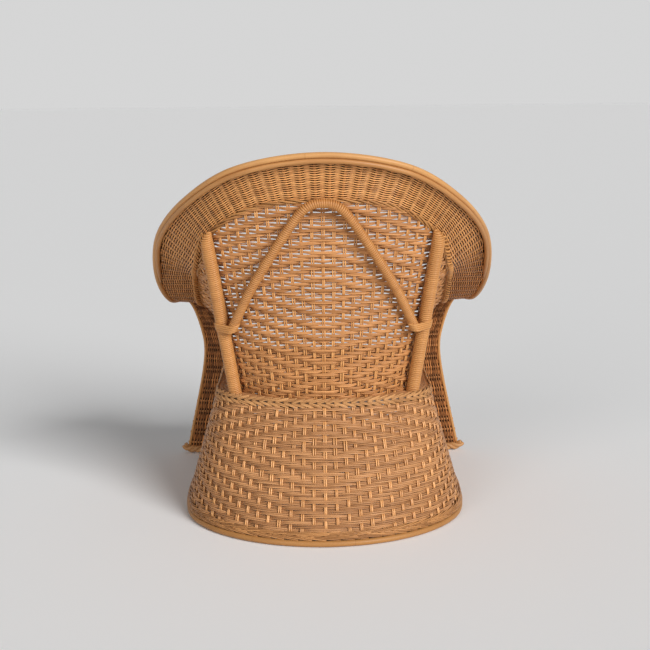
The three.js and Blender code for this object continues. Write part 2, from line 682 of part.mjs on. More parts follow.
// Skirt: panels down to the floor between two plaits that lie in its slope, and a hoop below the lower one.
const allSkirt = stationsBetween(-skirtFront, skirtFront);
const plait = (curve, height, thickness) => rod(allSkirt.map(curve), ellipse(height, thickness), up, {
  ways: allSkirt.map((station) => wayAt(curve, station)),
  normals: allSkirt.map(skirtWay),
});
add('waist_braid', plait(waistAt, waistBraidHeight, waistBraidThickness), 'plait');
add('floor_braid', plait(floorBraidAt, floorBraidHeight, floorBraidThickness), 'plait');
add('floor_hoop', rod(allSkirt.map(floorAt), ellipse(floorHoopDiameter, floorHoopDiameter), up), 'cane');
const skirtSurface = ruled(
  waistAt, floorBraidAt, waistBraidHeight / 2 + clearance, floorBraidHeight / 2 + clearance);
const sideStart = 4;
const skirtColumns = 3;
const skirtSeam = seamShare(waistAt, sideStart);
const rearStations = stationsBetween(-sideStart + skirtSeam, sideStart - skirtSeam);
add('skirt_rear', panel(rearStations, skirtSurface, skirtThickness, skirtColumns), 'twill');
addPair('skirt_side', 'twill', (side) => {
  const stations = stationsBetween(side * (sideStart + skirtSeam), side * (skirtFront - 0.05));
  return panel(stations, skirtSurface, skirtThickness, skirtColumns);
});
const cornerLegRadius = cornerLegDiameter / 2;
addPair('corner_leg', 'pole', (side) => {
  const base = insideSkirt(side * sideStart, cornerLegRadius);
  const head = ringAt(side * 3.3);
  const points = [base, head.setZ(ringHeight - ringRadius - clearance)];
  return rod(points, round(cornerLegDiameter), ahead, { startLevel: 0, endLevel: head.z });
});

// Front apron between the legs, from the seat rail to a rail on the floor.
const floorRailHalf = footPoint.x - hoopRadius - 6 * clearance;
add('front_floor_rail', rod([
  place(-floorRailHalf, footPoint.y - 1, floorHoopRadius),
  place(floorRailHalf, footPoint.y - 1, floorHoopRadius),
], ellipse(floorHoopDiameter, floorHoopDiameter), up), 'cane');
const apronTop = frontRailHeight - frontRailRadius - clearance;
const apronBottom = floorHoopDiameter + clearance;
const apronSurface = (height, share) => {
  const leg = hoopAt(foot - height / waistHeight);
  const half = leg.x - hoopRadius - 3 * clearance;
  return place(mix(-half, half, share), leg.y, height);
};
const apronHeights = [0, 0.25, 0.5, 0.75, 1].map((share) => mix(apronBottom, apronTop, share));
add('front_apron', panel(apronHeights, apronSurface, apronThickness), 'twill');

const box = new THREE.Box3().setFromObject(chair);
const middle = box.getCenter(new THREE.Vector3());
chair.position.set(-middle.x, -middle.y, -box.min.z);

export default chair;
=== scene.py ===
import math

import bpy
import numpy as np
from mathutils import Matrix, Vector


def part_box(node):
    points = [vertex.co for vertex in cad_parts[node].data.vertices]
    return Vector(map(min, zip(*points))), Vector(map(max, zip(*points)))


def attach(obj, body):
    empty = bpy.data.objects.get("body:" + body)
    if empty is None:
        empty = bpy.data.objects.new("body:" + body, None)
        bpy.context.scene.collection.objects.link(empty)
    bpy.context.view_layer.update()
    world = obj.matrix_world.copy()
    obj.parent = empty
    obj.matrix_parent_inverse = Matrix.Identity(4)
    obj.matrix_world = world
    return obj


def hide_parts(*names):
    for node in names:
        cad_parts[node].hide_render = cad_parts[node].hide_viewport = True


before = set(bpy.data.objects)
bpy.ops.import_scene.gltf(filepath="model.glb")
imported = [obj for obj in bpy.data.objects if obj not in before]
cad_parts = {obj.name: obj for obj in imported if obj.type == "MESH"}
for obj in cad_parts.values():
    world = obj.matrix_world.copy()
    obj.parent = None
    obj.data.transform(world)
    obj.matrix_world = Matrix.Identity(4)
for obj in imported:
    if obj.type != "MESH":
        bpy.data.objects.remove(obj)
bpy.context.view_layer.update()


# Seat frame: a bent pole ring, a rail between the front legs, two cross rails and two legs in the skirt.
# Rattan poles with their skin on, steamed, bent round a form and nailed where they meet.

ring_diameter, front_rail_diameter, corner_leg_diameter = 0.016, 0.020, 0.020
corner_inset, corner_depth, corner_leg_station = 0.044, 0.083, 3.3
pole_sides = 12
pole_pale, pole_deep = (0.568, 0.267, 0.083), (0.333, 0.134, 0.037)
aside, ahead, up = np.eye(3)
both_sides = (("right", 1), ("left", -1))
# The solids' poles have eight sides, so a centre line lies this share of a radius inside its solid's box.
flat_share = math.cos(math.pi / 8)


def unit(vectors):
    """Vectors divided by their own lengths."""
    return vectors / np.linalg.norm(vectors, axis=-1, keepdims=True)


def mix(first, second, share):
    """Straight blend from the first value to the second."""
    return first + (second - first) * share


def station_curve(right_half):
    """Curve through the points of a right half and their mirror images, read by station number.

    Station 0 lies on the middle plane. Between two stations the curve is a cubic, and its end slopes come
    from the neighbouring points, with knots spaced by the square root of the distance between points."""
    right = np.asarray(right_half, float)
    last = len(right) - 1
    points = np.vstack([right[:0:-1] * (-1, 1, 1), right])
    points = np.vstack([2 * points[0] - points[1], points, 2 * points[-1] - points[-2]])
    spaces = np.sqrt(np.linalg.norm(np.diff(points, axis=0), axis=1))[:, None]

    def at(station):
        """Start + leave * share + bend * share**2 + twist * share**3, between two stations."""
        place = np.clip(np.asarray(station, float) + last, 0, 2 * last)
        first = np.minimum(place.astype(int), 2 * last - 1)
        share = (place - first)[..., None]
        before, start, end, after = (points[first + step] for step in range(4))
        space0, space1, space2 = (spaces[first + step] for step in range(3))
        leave = (start - before) / space0 - (end - before) / (space0 + space1) + (end - start) / space1
        arrive = (end - start) / space1 - (after - start) / (space1 + space2) + (after - end) / space2
        leave, arrive = leave * space1, arrive * space1
        bend = 3 * (end - start) - 2 * leave - arrive
        twist = 2 * (start - end) + leave + arrive
        return start + leave * share + bend * share**2 + twist * share**3

    return at


def reeds(name, paths, facing, thick, wide, sides=6, seed=1):
    """Reeds of oval section along one path or many, as one closed mesh.

    Section: centre + thick/2 * cos(angle) * lift + wide/2 * sin(angle) * across, with across at right
    angles to the path and to the facing vector, and lift at right angles to both. The point attribute holds
    the length along the reed in metres, the share of the way round it, and the reed's own tone from 0 to 1.
    Ends that stand on the floor are cut level with it."""
    steps = paths.shape[-2]
    facing = np.broadcast_to(facing, paths.shape).reshape(-1, steps, 3)
    paths = paths.reshape(-1, steps, 3)
    count = len(paths)
    way = unit(np.gradient(paths, axis=1))
    across = unit(np.cross(way, facing))
    lift = np.cross(across, way)
    angle = np.linspace(-math.pi, math.pi, sides, endpoint=False)[:, None]
    half_thick = np.broadcast_to(thick, (count, steps))[:, :, None, None] / 2
    half_wide = np.broadcast_to(wide, (count, steps))[:, :, None, None] / 2
    points = (paths[:, :, None] + half_thick * np.cos(angle) * lift[:, :, None]
              + half_wide * np.sin(angle) * across[:, :, None])
    points[..., 2] = np.maximum(points[..., 2], 0)
    reed, step, side = np.ogrid[:count, :steps - 1, :sides]
    ring = (reed * steps + step) * sides
    after = (side + 1) % sides
    walls = np.stack([ring + side, ring + after, ring + sides + after, ring + sides + side], -1)
    first = np.arange(1, sides - 1, 2)
    cap = np.stack([0 * first, first, first + 1, first + 2], -1)
    starts = np.arange(count)[:, None, None] * steps * sides + cap[:, ::-1]
    ends = np.arange(count)[:, None, None] * steps * sides + (steps - 1) * sides + cap
    faces = np.vstack([walls.reshape(-1, 4), starts.reshape(-1, 4), ends.reshape(-1, 4)])
    lengths = np.linalg.norm(np.diff(paths, axis=1), axis=2).cumsum(1)
    along = np.hstack([np.zeros((count, 1)), lengths])[:, :, None]
    around = np.arange(sides) / sides
    tone = np.random.default_rng(seed).random(count)[:, None, None]
    tags = np.stack(np.broadcast_arrays(along, around, tone), -1)
    mesh = bpy.data.meshes.new(name)
    mesh.vertices.add(count * steps * sides)
    mesh.vertices.foreach_set("co", points.ravel())
    mesh.loops.add(faces.size)
    mesh.loops.foreach_set("vertex_index", faces.ravel().astype(np.int32))
    mesh.polygons.add(len(faces))
    mesh.polygons.foreach_set("loop_start", np.arange(0, faces.size, 4, dtype=np.int32))
    mesh.attributes.new("reed", "FLOAT_VECTOR", "POINT").data.foreach_set("vector", tags.ravel())
    mesh.update(calc_edges=True)
    mesh.shade_smooth()
    piece = bpy.data.objects.new(name, mesh)
    bpy.context.scene.collection.objects.link(piece)
    return piece


def rod(name, path, facing, diameter, sides=pole_sides, seed=1):
    """One pole or reed of round section along a path, with one diameter or one for each point."""
    return reeds(name, path, facing, diameter, diameter, sides, seed)


def fit(piece, material, slot, *nodes):
    """Gives a piece its finish, and puts it in the place of the solids that it stands for."""
    piece.data.materials.append(material)
    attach(piece, "root")
    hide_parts(*nodes)


# Scales of the grain's noise along a reed, round it and from reed to reed, and what each part of it adds.
streak_scale, streak_detail = (30.0, 9.0, 91.0), 3.0
stain_scale, stain_detail = (9.0, 0.6, 57.0), 2.0
tone_gain, stain_gain, streak_gain, grain_base = 0.8, 0.7, 0.6, -0.57
joint_spacing, joint_length, joint_shift, joint_shade = 0.23, 0.003, 7.3, -0.45
rough_base, rough_gain = 0.32, 0.30
relief_streak, relief_stain, relief_strength, relief_height = 0.7, 0.3, 0.25, 0.0006
reed_sheen, lacquer_roughness = 0.28, 0.22


def reed_grain_group():
    """Shader group of split and whole rattan: long streaks, slow stains, a tone for each reed, leaf joints.

    The colour runs from deep to pale by the base plus each gain times its tone, stain or streak. A leaf
    joint darkens the reed once in each joint spacing, at a place that the reed's tone shifts."""
    group = bpy.data.node_groups.new("reed_grain", "ShaderNodeTree")
    for socket, way, kind in (("Pale", "INPUT", "Color"), ("Deep", "INPUT", "Color"),
                              ("Colour", "OUTPUT", "Color"), ("Roughness", "OUTPUT", "Float"),
                              ("Height", "OUTPUT", "Float")):
        group.interface.new_socket(socket, in_out=way, socket_type=f"NodeSocket{kind}")
    nodes, links = group.nodes, group.links
    inlet, outlet = nodes.new("NodeGroupInput"), nodes.new("NodeGroupOutput")
    tags = nodes.new("ShaderNodeAttribute")
    tags.attribute_name = "reed"

    def noise(scale, detail):
        """Noise over the reed's own length, girth and tone, each at its own scale."""
        stretch = nodes.new("ShaderNodeVectorMath")
        stretch.operation = "MULTIPLY"
        stretch.inputs[1].default_value = scale
        links.new(tags.outputs["Vector"], stretch.inputs[0])
        texture = nodes.new("ShaderNodeTexNoise")
        texture.inputs["Scale"].default_value = 1.0
        texture.inputs["Detail"].default_value = detail
        links.new(stretch.outputs["Vector"], texture.inputs["Vector"])
        return texture.outputs["Fac"]

    def weigh(value, factor, added):
        """Value * factor + added, where added is a number or another value."""
        node = nodes.new("ShaderNodeMath")
        node.operation = "MULTIPLY_ADD"
        links.new(value, node.inputs[0])
        node.inputs[1].default_value = factor
        if isinstance(added, float):
            node.inputs[2].default_value = added
        else:
            links.new(added, node.inputs[2])
        return node.outputs["Value"]

    streak = noise(streak_scale, streak_detail)
    stain = noise(stain_scale, stain_detail)
    split = nodes.new("ShaderNodeSeparateXYZ")
    links.new(tags.outputs["Vector"], split.inputs["Vector"])
    length, tone = split.outputs["X"], split.outputs["Z"]
    share = weigh(tone, tone_gain, weigh(stain, stain_gain, weigh(streak, streak_gain, grain_base)))
    place = weigh(length, 1 / joint_spacing, weigh(tone, joint_shift, 0.0))
    repeat = nodes.new("ShaderNodeMath")
    repeat.operation = "FRACT"
    links.new(place, repeat.inputs[0])
    joint = nodes.new("ShaderNodeMapRange")
    joint.inputs["From Min"].default_value = joint_length / joint_spacing
    joint.inputs["From Max"].default_value = 0.0
    joint.inputs["To Max"].default_value = joint_shade
    links.new(repeat.outputs["Value"], joint.inputs["Value"])
    share = weigh(joint.outputs["Result"], 1.0, share)
    blend = nodes.new("ShaderNodeMix")
    blend.data_type = "RGBA"
    blend.clamp_factor = True
    links.new(share, blend.inputs["Factor"])
    # The colours of this node are its inputs 6 and 7 and its output 2.
    links.new(inlet.outputs["Deep"], blend.inputs[6])
    links.new(inlet.outputs["Pale"], blend.inputs[7])
    links.new(blend.outputs[2], outlet.inputs["Colour"])
    links.new(weigh(streak, rough_gain, rough_base), outlet.inputs["Roughness"])
    links.new(weigh(streak, relief_streak, weigh(stain, relief_stain, 0.0)), outlet.inputs["Height"])
    return group


reed_grain = reed_grain_group()


def rattan(name, pale, deep, sheen=reed_sheen, lacquer=0.0):
    """Finish of rattan: the reed grain between a pale and a deep colour, with a low relief of its streaks,
    a sheen and a coat of lacquer."""
    material = bpy.data.materials.new(name)
    material.use_nodes = True
    nodes, links = material.node_tree.nodes, material.node_tree.links
    shader = nodes["Principled BSDF"]
    shader.inputs["Specular IOR Level"].default_value = sheen
    shader.inputs["Coat Weight"].default_value = lacquer
    shader.inputs["Coat Roughness"].default_value = lacquer_roughness
    grain = nodes.new("ShaderNodeGroup")
    grain.node_tree = reed_grain
    grain.inputs["Pale"].default_value = (*pale, 1.0)
    grain.inputs["Deep"].default_value = (*deep, 1.0)
    bump = nodes.new("ShaderNodeBump")
    bump.inputs["Strength"].default_value = relief_strength
    bump.inputs["Distance"].default_value = relief_height
    links.new(grain.outputs["Colour"], shader.inputs["Base Color"])
    links.new(grain.outputs["Roughness"], shader.inputs["Roughness"])
    links.new(grain.outputs["Height"], bump.inputs["Height"])
    links.new(bump.outputs["Normal"], shader.inputs["Normal"])
    return material


pole_finish = rattan("pole", pole_pale, pole_deep)
ring_low, ring_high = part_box("seat_ring")
ring_level = (ring_low.z + ring_high.z) / 2
seat_half = ring_high.x - flat_share * ring_diameter / 2
seat_rear = ring_low.y + flat_share * ring_diameter / 2
seat_front = ring_high.y
corner_half, corner_reach = seat_half - corner_inset, seat_rear + corner_depth
ring_at = station_curve([
    (0, seat_rear, ring_level),
    (0.615 * corner_half, mix(seat_rear, corner_reach, 0.32), ring_level),
    (corner_half, corner_reach, ring_level),
    (mix(corner_half, seat_half, 0.68), mix(corner_reach, seat_front, 0.14), ring_level),
    (mix(corner_half, seat_half, 0.91), mix(corner_reach, seat_front, 0.393), ring_level),
    (seat_half, mix(corner_reach, seat_front, 0.727), ring_level),
    (seat_half, seat_front, ring_level)])
corner, ring_front = 2, 6
ring_path = ring_at(np.linspace(-ring_front, ring_front, 140))
fit(rod("seat_hoop", ring_path, up, ring_diameter), pole_finish, "pole", "seat_ring")


def rail_line(node, steps):
    """Straight line from end to end of a rail's solid, through the middle of its box."""
    low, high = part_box(node)
    middle = (low + high) / 2
    return np.linspace((low.x, middle.y, middle.z), (high.x, middle.y, middle.z), steps)


for rail, rail_diameter in (("front_seat_rail", front_rail_diameter), ("rear_cross_rail", ring_diameter),
                            ("front_cross_rail", ring_diameter)):
    fit(rod(f"{rail}_pole", rail_line(rail, 24), up, rail_diameter), pole_finish, "pole", rail)

for side, sign in both_sides:
    low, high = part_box(f"corner_leg_{side}")
    foot = np.array([sign * (max(abs(low.x), abs(high.x)) - corner_leg_diameter / 2),
                     low.y + corner_leg_diameter / 2, 0.0])
    head = ring_at(sign * corner_leg_station)
    head[2] = high.z
    leg_path = mix(foot, head, np.linspace(0, 1, 20)[:, None])
    fit(rod(f"corner_pole_{side}", leg_path, ahead, corner_leg_diameter), pole_finish,
        "pole", f"corner_leg_{side}")


# Frame hoop: bent poles along the inner edge of the collar and the arms, whose ends go down as front legs.
# A rope of four thin strands covers the pole behind the collar, and one of three strands along the arms.
# Inside each rope, where the pole lies in shade, a thin near-black core stands for that shade: painted
# shade.

hoop_diameter, edge_diameter, floor_hoop_diameter = 0.018, 0.013, 0.014
collar_width, collar_flare = 0.121, math.radians(34.7)
arm_width, lapel_width, lapel_foot_width = 0.101, 0.076, 0.104
arm_height, nose_reach, foot_lead, foot_flare = 0.456, 0.690, 0.062, 0.138
crest_overhang = 0.010
seat_top, waist_height = 0.296, 0.288
core_sides, border_core = 8, 0.006
crest_strands, crest_strand, crest_turn = 4, 0.0050, 0.110
arm_strands, arm_strand, arm_turn, arm_lay = 3, 0.0062, 0.050, 0.56

# Reaches are measured from the rear middle of the floor hoop, and the rim line is the edge of the strip.
rear_middle = np.array([0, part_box("floor_hoop")[0].y + flat_share * floor_hoop_diameter / 2, 0])
rim_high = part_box("rim_cane_edge")[1]
wing_half = rim_high.x - flat_share * edge_diameter / 2
crest_height = rim_high.z - edge_diameter / 2
back_rise = crest_height - arm_height
rim_points = rear_middle + np.array([
    (0, -crest_overhang, crest_height),
    (0.455 * wing_half, 0.0435 * nose_reach - crest_overhang, crest_height - 0.072 * back_rise),
    (0.739 * wing_half, 0.159 * nose_reach, crest_height - 0.248 * back_rise),
    (0.938 * wing_half, 0.362 * nose_reach, crest_height - 0.489 * back_rise),
    (wing_half, 0.58 * nose_reach, crest_height - 0.777 * back_rise),
    (0.965 * wing_half, 0.812 * nose_reach, arm_height),
    (0.869 * wing_half, nose_reach, mix(seat_top, arm_height, 0.825)),
    (seat_half + 1.16 * lapel_width, nose_reach + 0.29 * foot_lead, mix(seat_top, arm_height, 0.34)),
    (seat_half + 1.066 * lapel_width, nose_reach + 0.355 * foot_lead, waist_height),
    (seat_half + foot_flare, nose_reach + foot_lead, 0)])
strip_ways = np.array([
    (0, collar_width * math.sin(collar_flare), -collar_width * math.cos(collar_flare)),
    (-0.285 * collar_width, 0.443 * collar_width, -0.704 * collar_width),
    (-0.427 * collar_width, 0.142 * collar_width, -0.617 * collar_width),
    (-0.9 * arm_width, 0, -0.762 * arm_width),
    (-arm_width, 0, -0.06 * arm_width),
    (-0.812 * arm_width, 0, -0.06 * arm_width),
    (-0.71 * lapel_width, -0.29 * lapel_width, -0.053 * lapel_width),
    (-0.816 * lapel_width, -0.237 * lapel_width, 0),
    (-0.974 * lapel_width, -0.237 * lapel_width, 0),
    (-lapel_foot_width, -0.21 * lapel_foot_width, 0)])
rim_at = station_curve(rim_points)
hoop_at = station_curve(rim_points + strip_ways)
wing, nose, waist, foot_end = 3, 6, 8, 9
leg_start, arm_border_end = nose + 0.2, nose + 0.25
border_finish = rattan("border_reed", (0.510, 0.245, 0.079), (0.265, 0.107, 0.030))
# Near-black painted shade: thin cores in the ropes, and sheets under the strip's weave and the edge chain,
# show dark in their gaps.
painted_shade_finish = rattan("painted_shade_reed", (0.070, 0.029, 0.010), (0.035, 0.014, 0.004), 0.1)


def lengths_along(path):
    """Length along a path up to each of its points: the sum of the straight steps before it."""
    return np.r_[0, np.linalg.norm(np.diff(path, axis=0), axis=1).cumsum()]


def cross_ways(way, lean):
    """Two ways at right angles to a path and to each other: the way to the front, leaned aside and freed of
    its part along the path, and the path's way crossed with it."""
    normal = unit(np.cross(np.cross(way, ahead + lean * aside), way))
    return normal, np.cross(way, normal)


def rope(name, path, strands, strand_diameter, ring_radius, turn_length, sides=6, seed=1):
    """Strands laid round a path: centre + ring_radius * (cos * normal + sin * binormal), where the angle
    grows by one turn in each turn length, and the strands share the circle evenly."""
    normal, binormal = cross_ways(unit(np.gradient(path, axis=0)), lean=0.3)
    turns = lengths_along(path)[None] / turn_length + np.arange(strands)[:, None] / strands
    angle = 2 * math.pi * turns[..., None]
    out = np.cos(angle) * normal + np.sin(angle) * binormal
    return reeds(name, path + ring_radius * out, out, strand_diameter, strand_diameter, sides, seed)


crest_path = hoop_at(np.linspace(-wing, wing, 300))
# The crest core is painted shade: a near-black rod inside the rope.
fit(rod("crest_core", crest_path, ahead, border_core, core_sides), painted_shade_finish, "pole", "crest_hoop")
crest_radius = (border_core + 0.5 * crest_strand) / 2
fit(rope("crest_border", crest_path, crest_strands, crest_strand, crest_radius, crest_turn, seed=5),
    border_finish, "pole", "crest_hoop")
for side, sign in both_sides:
    arm_path = hoop_at(sign * np.linspace(wing, arm_border_end, 230))
    # The arm core is painted shade: a near-black rod inside the rope.
    fit(rod(f"arm_core_{side}", arm_path, aside, arm_strand, core_sides), painted_shade_finish,
        "pole", f"arm_bow_{side}")
    strands = rope(f"arm_border_{side}", arm_path, arm_strands, arm_strand, arm_lay * arm_strand,
                   sign * arm_turn, sides=8, seed=7)
    fit(strands, border_finish, "pole", f"arm_bow_{side}")

for side, sign in both_sides:
    leg_path = hoop_at(sign * np.linspace(leg_start, foot_end, 60))
    fit(rod(f"front_leg_{side}", leg_path, aside, hoop_diameter), pole_finish, "pole", f"arm_bow_{side}")


# Tub: the back and the sides under the arms, one basket of upright stakes in pairs with reeds woven in.
# Each row is a pair of thin reeds that pass over two stake pairs and under two, in a twill of nested
# diamonds. The stakes stand on the seat ring and end under the hoop.

stake_diameter, stake_apart, pair_pitch = 0.0038, 1.08, 0.0193
weaver_thick, weaver_wide_low, weaver_wide_high, closed_height = 0.0029, 0.0037, 0.0030, 0.22
float_wide, float_swell = 1.18, 0.25
tub_rows, row_pitch, row_split, first_row = 70, 0.0072, 0.21, 0.012
row_clear, shortest_reach, pair_clear = 0.001, 0.06, 0.01
weaver_swing, stake_swing = 0.0034, 0.0008
weaver_drift, stake_drift, weaver_drift_rate, stake_drift_rate = 0.0004, 0.0007, 0.9, 9
diamond_low, diamond_high, peak_round = 7, 36, 0.15
arm_panel_bow, leg_at_seat = 0.020, waist - 0.1
weaver_finish = rattan("twill_weaver", (0.645, 0.303, 0.110), (0.350, 0.145, 0.046))
# The stakes' paler colour is partly painted highlight, the gleam of lit stakes; their sheen and lacquer are
# real.
stake_finish = rattan("twill_stake", (0.764, 0.383, 0.133), (0.510, 0.223, 0.065), 0.4, 0.3)


def twill(phase):
    """Side of the stakes on which a weaver runs: 1 outside two pairs, then -1 inside two, as the tanh of
    twice a cosine that repeats every four pairs."""
    wave = np.cos(np.pi * (phase - 0.5) / 2)
    return np.tanh(2 * wave) / math.tanh(math.sqrt(2))


def from_middle(pair):
    """Distance from the middle stake pair in pairs, rounded off at the middle as a root of squares."""
    return np.sqrt(pair**2 + peak_round)


def wander(count, along, size, seed):
    """Unevenness of handwork in each reed: size * (0.65 * sin(along + phase) + 0.35 * sin(2.7 * along +
    phase)), with two random phases for each reed."""
    phase = 2 * math.pi * np.random.default_rng(seed).random((2, count, 1))
    return size * (0.65 * np.sin(along + phase[0]) + 0.35 * np.sin(2.7 * along + phase[1]))


def surface_normal(surface, along, share):
    """Outward normal and the way along: the normal is the way along the surface crossed with the way up it,
    both by small differences."""
    small = 0.01
    level = surface(along + small, share) - surface(along - small, share)
    rise = surface(along, share + small) - surface(along, share - small)
    return unit(np.cross(level, rise)), unit(level)


def woven_rows(name, surface, along, share, phase, thick, wide, seed):
    """Weavers over a surface: each stands off it along the normal by the weaver swing times the twill."""
    out, _ = surface_normal(surface, along, share)
    swing = weaver_swing * twill(phase)
    return reeds(name, surface(along, share) + swing[..., None] * out, out, thick, wide, seed=seed)


def woven_stakes(name, surface, places, climb, phase_at, drift_rate, drift_seed, seed):
    """Stakes in pairs up a surface, from places along it and over a climb of shares of its height.

    The two stakes of a pair lie to each side of their place and wander as handwork does. Against the
    weavers' swing, they bend along the normal by the stake swing times the twill."""
    beside = np.array([-0.5, 0.5])[None, :, None] * stake_apart * stake_diameter + wander(
        2 * len(places), drift_rate * climb[None], stake_drift, drift_seed).reshape(len(places), 2, -1)
    along, share = np.broadcast_arrays(places[:, None, None], climb + 0 * beside)
    out, level = surface_normal(surface, along, share)
    swing = -stake_swing * twill(phase_at(along, share))
    paths = surface(along, share) + swing[..., None] * out + beside[..., None] * level
    return reeds(name, paths, out, stake_diameter, stake_diameter, seed=seed)


def tub(station, share):
    """Rulings from the seat ring to the hoop, which turn into the front leg's line at the front.

    They are straight in the back, and below the arms they bow inwards by the sine of half a turn."""
    station = np.asarray(station, float)
    share = np.asarray(share, float)
    onset = np.clip(np.abs(station) - corner, 0, 1)
    hollow = onset**2 * (3 - 2 * onset) * np.sin(math.pi * np.clip(share, 0, 1)**1.5)
    sheet = mix(ring_at(station), hoop_at(station), share[..., None])
    sheet = sheet - (np.sign(station) * arm_panel_bow * hollow)[..., None] * aside
    leg = hoop_at(np.sign(station) * mix(leg_at_seat, leg_start, share)) - ahead * hoop_diameter / 2
    turn = np.clip(np.abs(station) - ring_front + 1, 0, 1)**3
    return mix(sheet, leg, turn[..., None])


table_half = 600
table_stations = np.linspace(-ring_front, ring_front, 2 * table_half + 1)
ring_lengths = lengths_along(ring_at(table_stations))
ring_lengths -= ring_lengths[table_half]
tub_heights = np.linalg.norm(hoop_at(table_stations) - ring_at(table_stations), axis=1)
half_heights = np.minimum.accumulate(tub_heights[table_half:])


def tub_pair(station):
    """Number of the stake pair at a station, counted along the seat ring from the middle of the back."""
    return np.interp(station, table_stations, ring_lengths) / pair_pitch


def tub_height(station):
    """Length of the ruling at a station."""
    return np.interp(station, table_stations, tub_heights)


def tub_phase(pair, row):
    """Twill phase: rows shift the pattern by one pair each, and turn back at two rows to close the
    diamonds."""
    turned = np.where(row < diamond_low, diamond_high - 2 * diamond_low + row, np.abs(row - diamond_high))
    return turned + from_middle(pair)


def tub_stake_phase(station, share):
    """Twill phase at a place on a stake, whose row number may lie between two rows."""
    return tub_phase(tub_pair(station), (share * tub_height(station) - first_row) / row_pitch)


for node, first, last in (("back_panel", -corner, corner), ("arm_panel_right", corner, ring_front),
                          ("arm_panel_left", -ring_front, -corner)):
    inner = 0 if first < 0 < last else corner
    row_of = np.repeat(np.arange(tub_rows), 2)
    heights = first_row + row_pitch * (row_of + row_split * np.tile([-1, 1], tub_rows))
    reach = np.interp(-(heights + row_clear), -half_heights, table_stations[table_half:],
                      left=0, right=ring_front)
    reach = np.minimum(reach, max(abs(first), abs(last)))
    reach = np.where(heights + row_clear > half_heights[0], 0, reach)
    held = reach > inner + shortest_reach
    heights, row_of, reach = heights[held, None], row_of[held, None], reach[held, None]
    across = np.linspace(0, 1, 72)[None]
    if inner == 0:
        stations = mix(-reach, reach, across)
    else:
        stations = np.sort(np.sign(first + last) * mix(reach, inner + 0 * reach, across), axis=1)
    heights = heights + wander(len(heights), weaver_drift_rate * tub_pair(stations), weaver_drift, seed=12)
    phase = tub_phase(tub_pair(stations), row_of)
    wide = mix(weaver_wide_low, weaver_wide_high, np.clip(heights / closed_height, 0, 1))
    wide = wide * (float_wide + float_swell * twill(phase))
    weavers = woven_rows(f"{node}_weavers", tub, stations, heights / tub_height(stations), phase,
                         weaver_thick, wide, seed=11)
    fit(weavers, weaver_finish, "twill", node)

    pairs = np.arange(math.ceil(tub_pair(first) + pair_clear), math.floor(tub_pair(last) - pair_clear) + 1)
    stake_stations = np.interp(pairs * pair_pitch, ring_lengths, table_stations)
    stakes = woven_stakes(f"{node}_stakes", tub, stake_stations, np.linspace(0, 1, 132), tub_stake_phase,
                          stake_drift_rate, drift_seed=14, seed=13)
    fit(stakes, stake_finish, "twill", node)


# Seat deck: a flat twill of split reed over the ring and the rails, with broad splints from back to front.
# The reeds and splints stop just inside the ring; on the chair their ends are turned down behind it and
# tucked in.

deck_pitch, deck_pair_pitch, deck_turn, deck_edge = 0.0074, 0.020, 30, 0.007
deck_weaver_thick, deck_weaver_wide, deck_weaver_swing = 0.0026, 0.0064, 0.0022
deck_splint_thick, deck_splint_wide, deck_splint_swing, deck_splints = 0.003, 0.009, 0.0008, 11
deck_first_row, deck_last_row, deck_splint_end = 0.010, 0.004, 0.002
ring_half_steps, ring_rear_steps = 400, 240
deck_low, deck_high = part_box("seat_deck")
deck_level = (deck_low.z + deck_high.z) / 2
ring_half = ring_at(np.linspace(0, ring_front, ring_half_steps))
ring_rear = ring_half[:ring_rear_steps]
deck_rows = np.arange(deck_low.y + deck_first_row, deck_high.y - deck_last_row, deck_pitch)
deck_shift = np.abs(np.arange(len(deck_rows)) - deck_turn)
deck_half = np.interp(deck_rows, ring_half[:, 1], ring_half[:, 0]) - deck_edge
deck_x = deck_half[:, None] * np.linspace(-1, 1, 60)
deck_z = deck_level + deck_weaver_swing * twill(deck_shift[:, None] + from_middle(deck_x / deck_pair_pitch))
deck_paths = np.stack([deck_x, deck_rows[:, None] + 0 * deck_x, deck_z], -1)
fit(reeds("seat_weavers", deck_paths, up, deck_weaver_thick, deck_weaver_wide, seed=17), weaver_finish,
    "twill", "seat_deck")
splint_pairs = np.arange(-deck_splints, deck_splints + 1)[:, None]
splint_x = splint_pairs * deck_pair_pitch
splint_rear = np.interp(np.abs(splint_x), ring_rear[:, 0], ring_rear[:, 1]) + deck_edge
splint_y = mix(splint_rear, deck_high.y - deck_splint_end, np.linspace(0, 1, 150))
splint_phase = np.interp(splint_y, deck_rows, deck_shift) + from_middle(splint_pairs)
deck_paths = np.stack([splint_x + 0 * splint_y, splint_y,
                       deck_level - deck_splint_swing * twill(splint_phase)], -1)
fit(reeds("seat_stakes", deck_paths, up, deck_splint_thick, deck_splint_wide, seed=19), stake_finish,
    "twill", "seat_deck")


# Skirt: the lower basket, flared from the waist to the floor, woven of reed as the tub is but closer.
# Its stakes come down from the seat ring, and its twill turns once, a third of the way down. The rows run
# from one front leg round the back to the other.

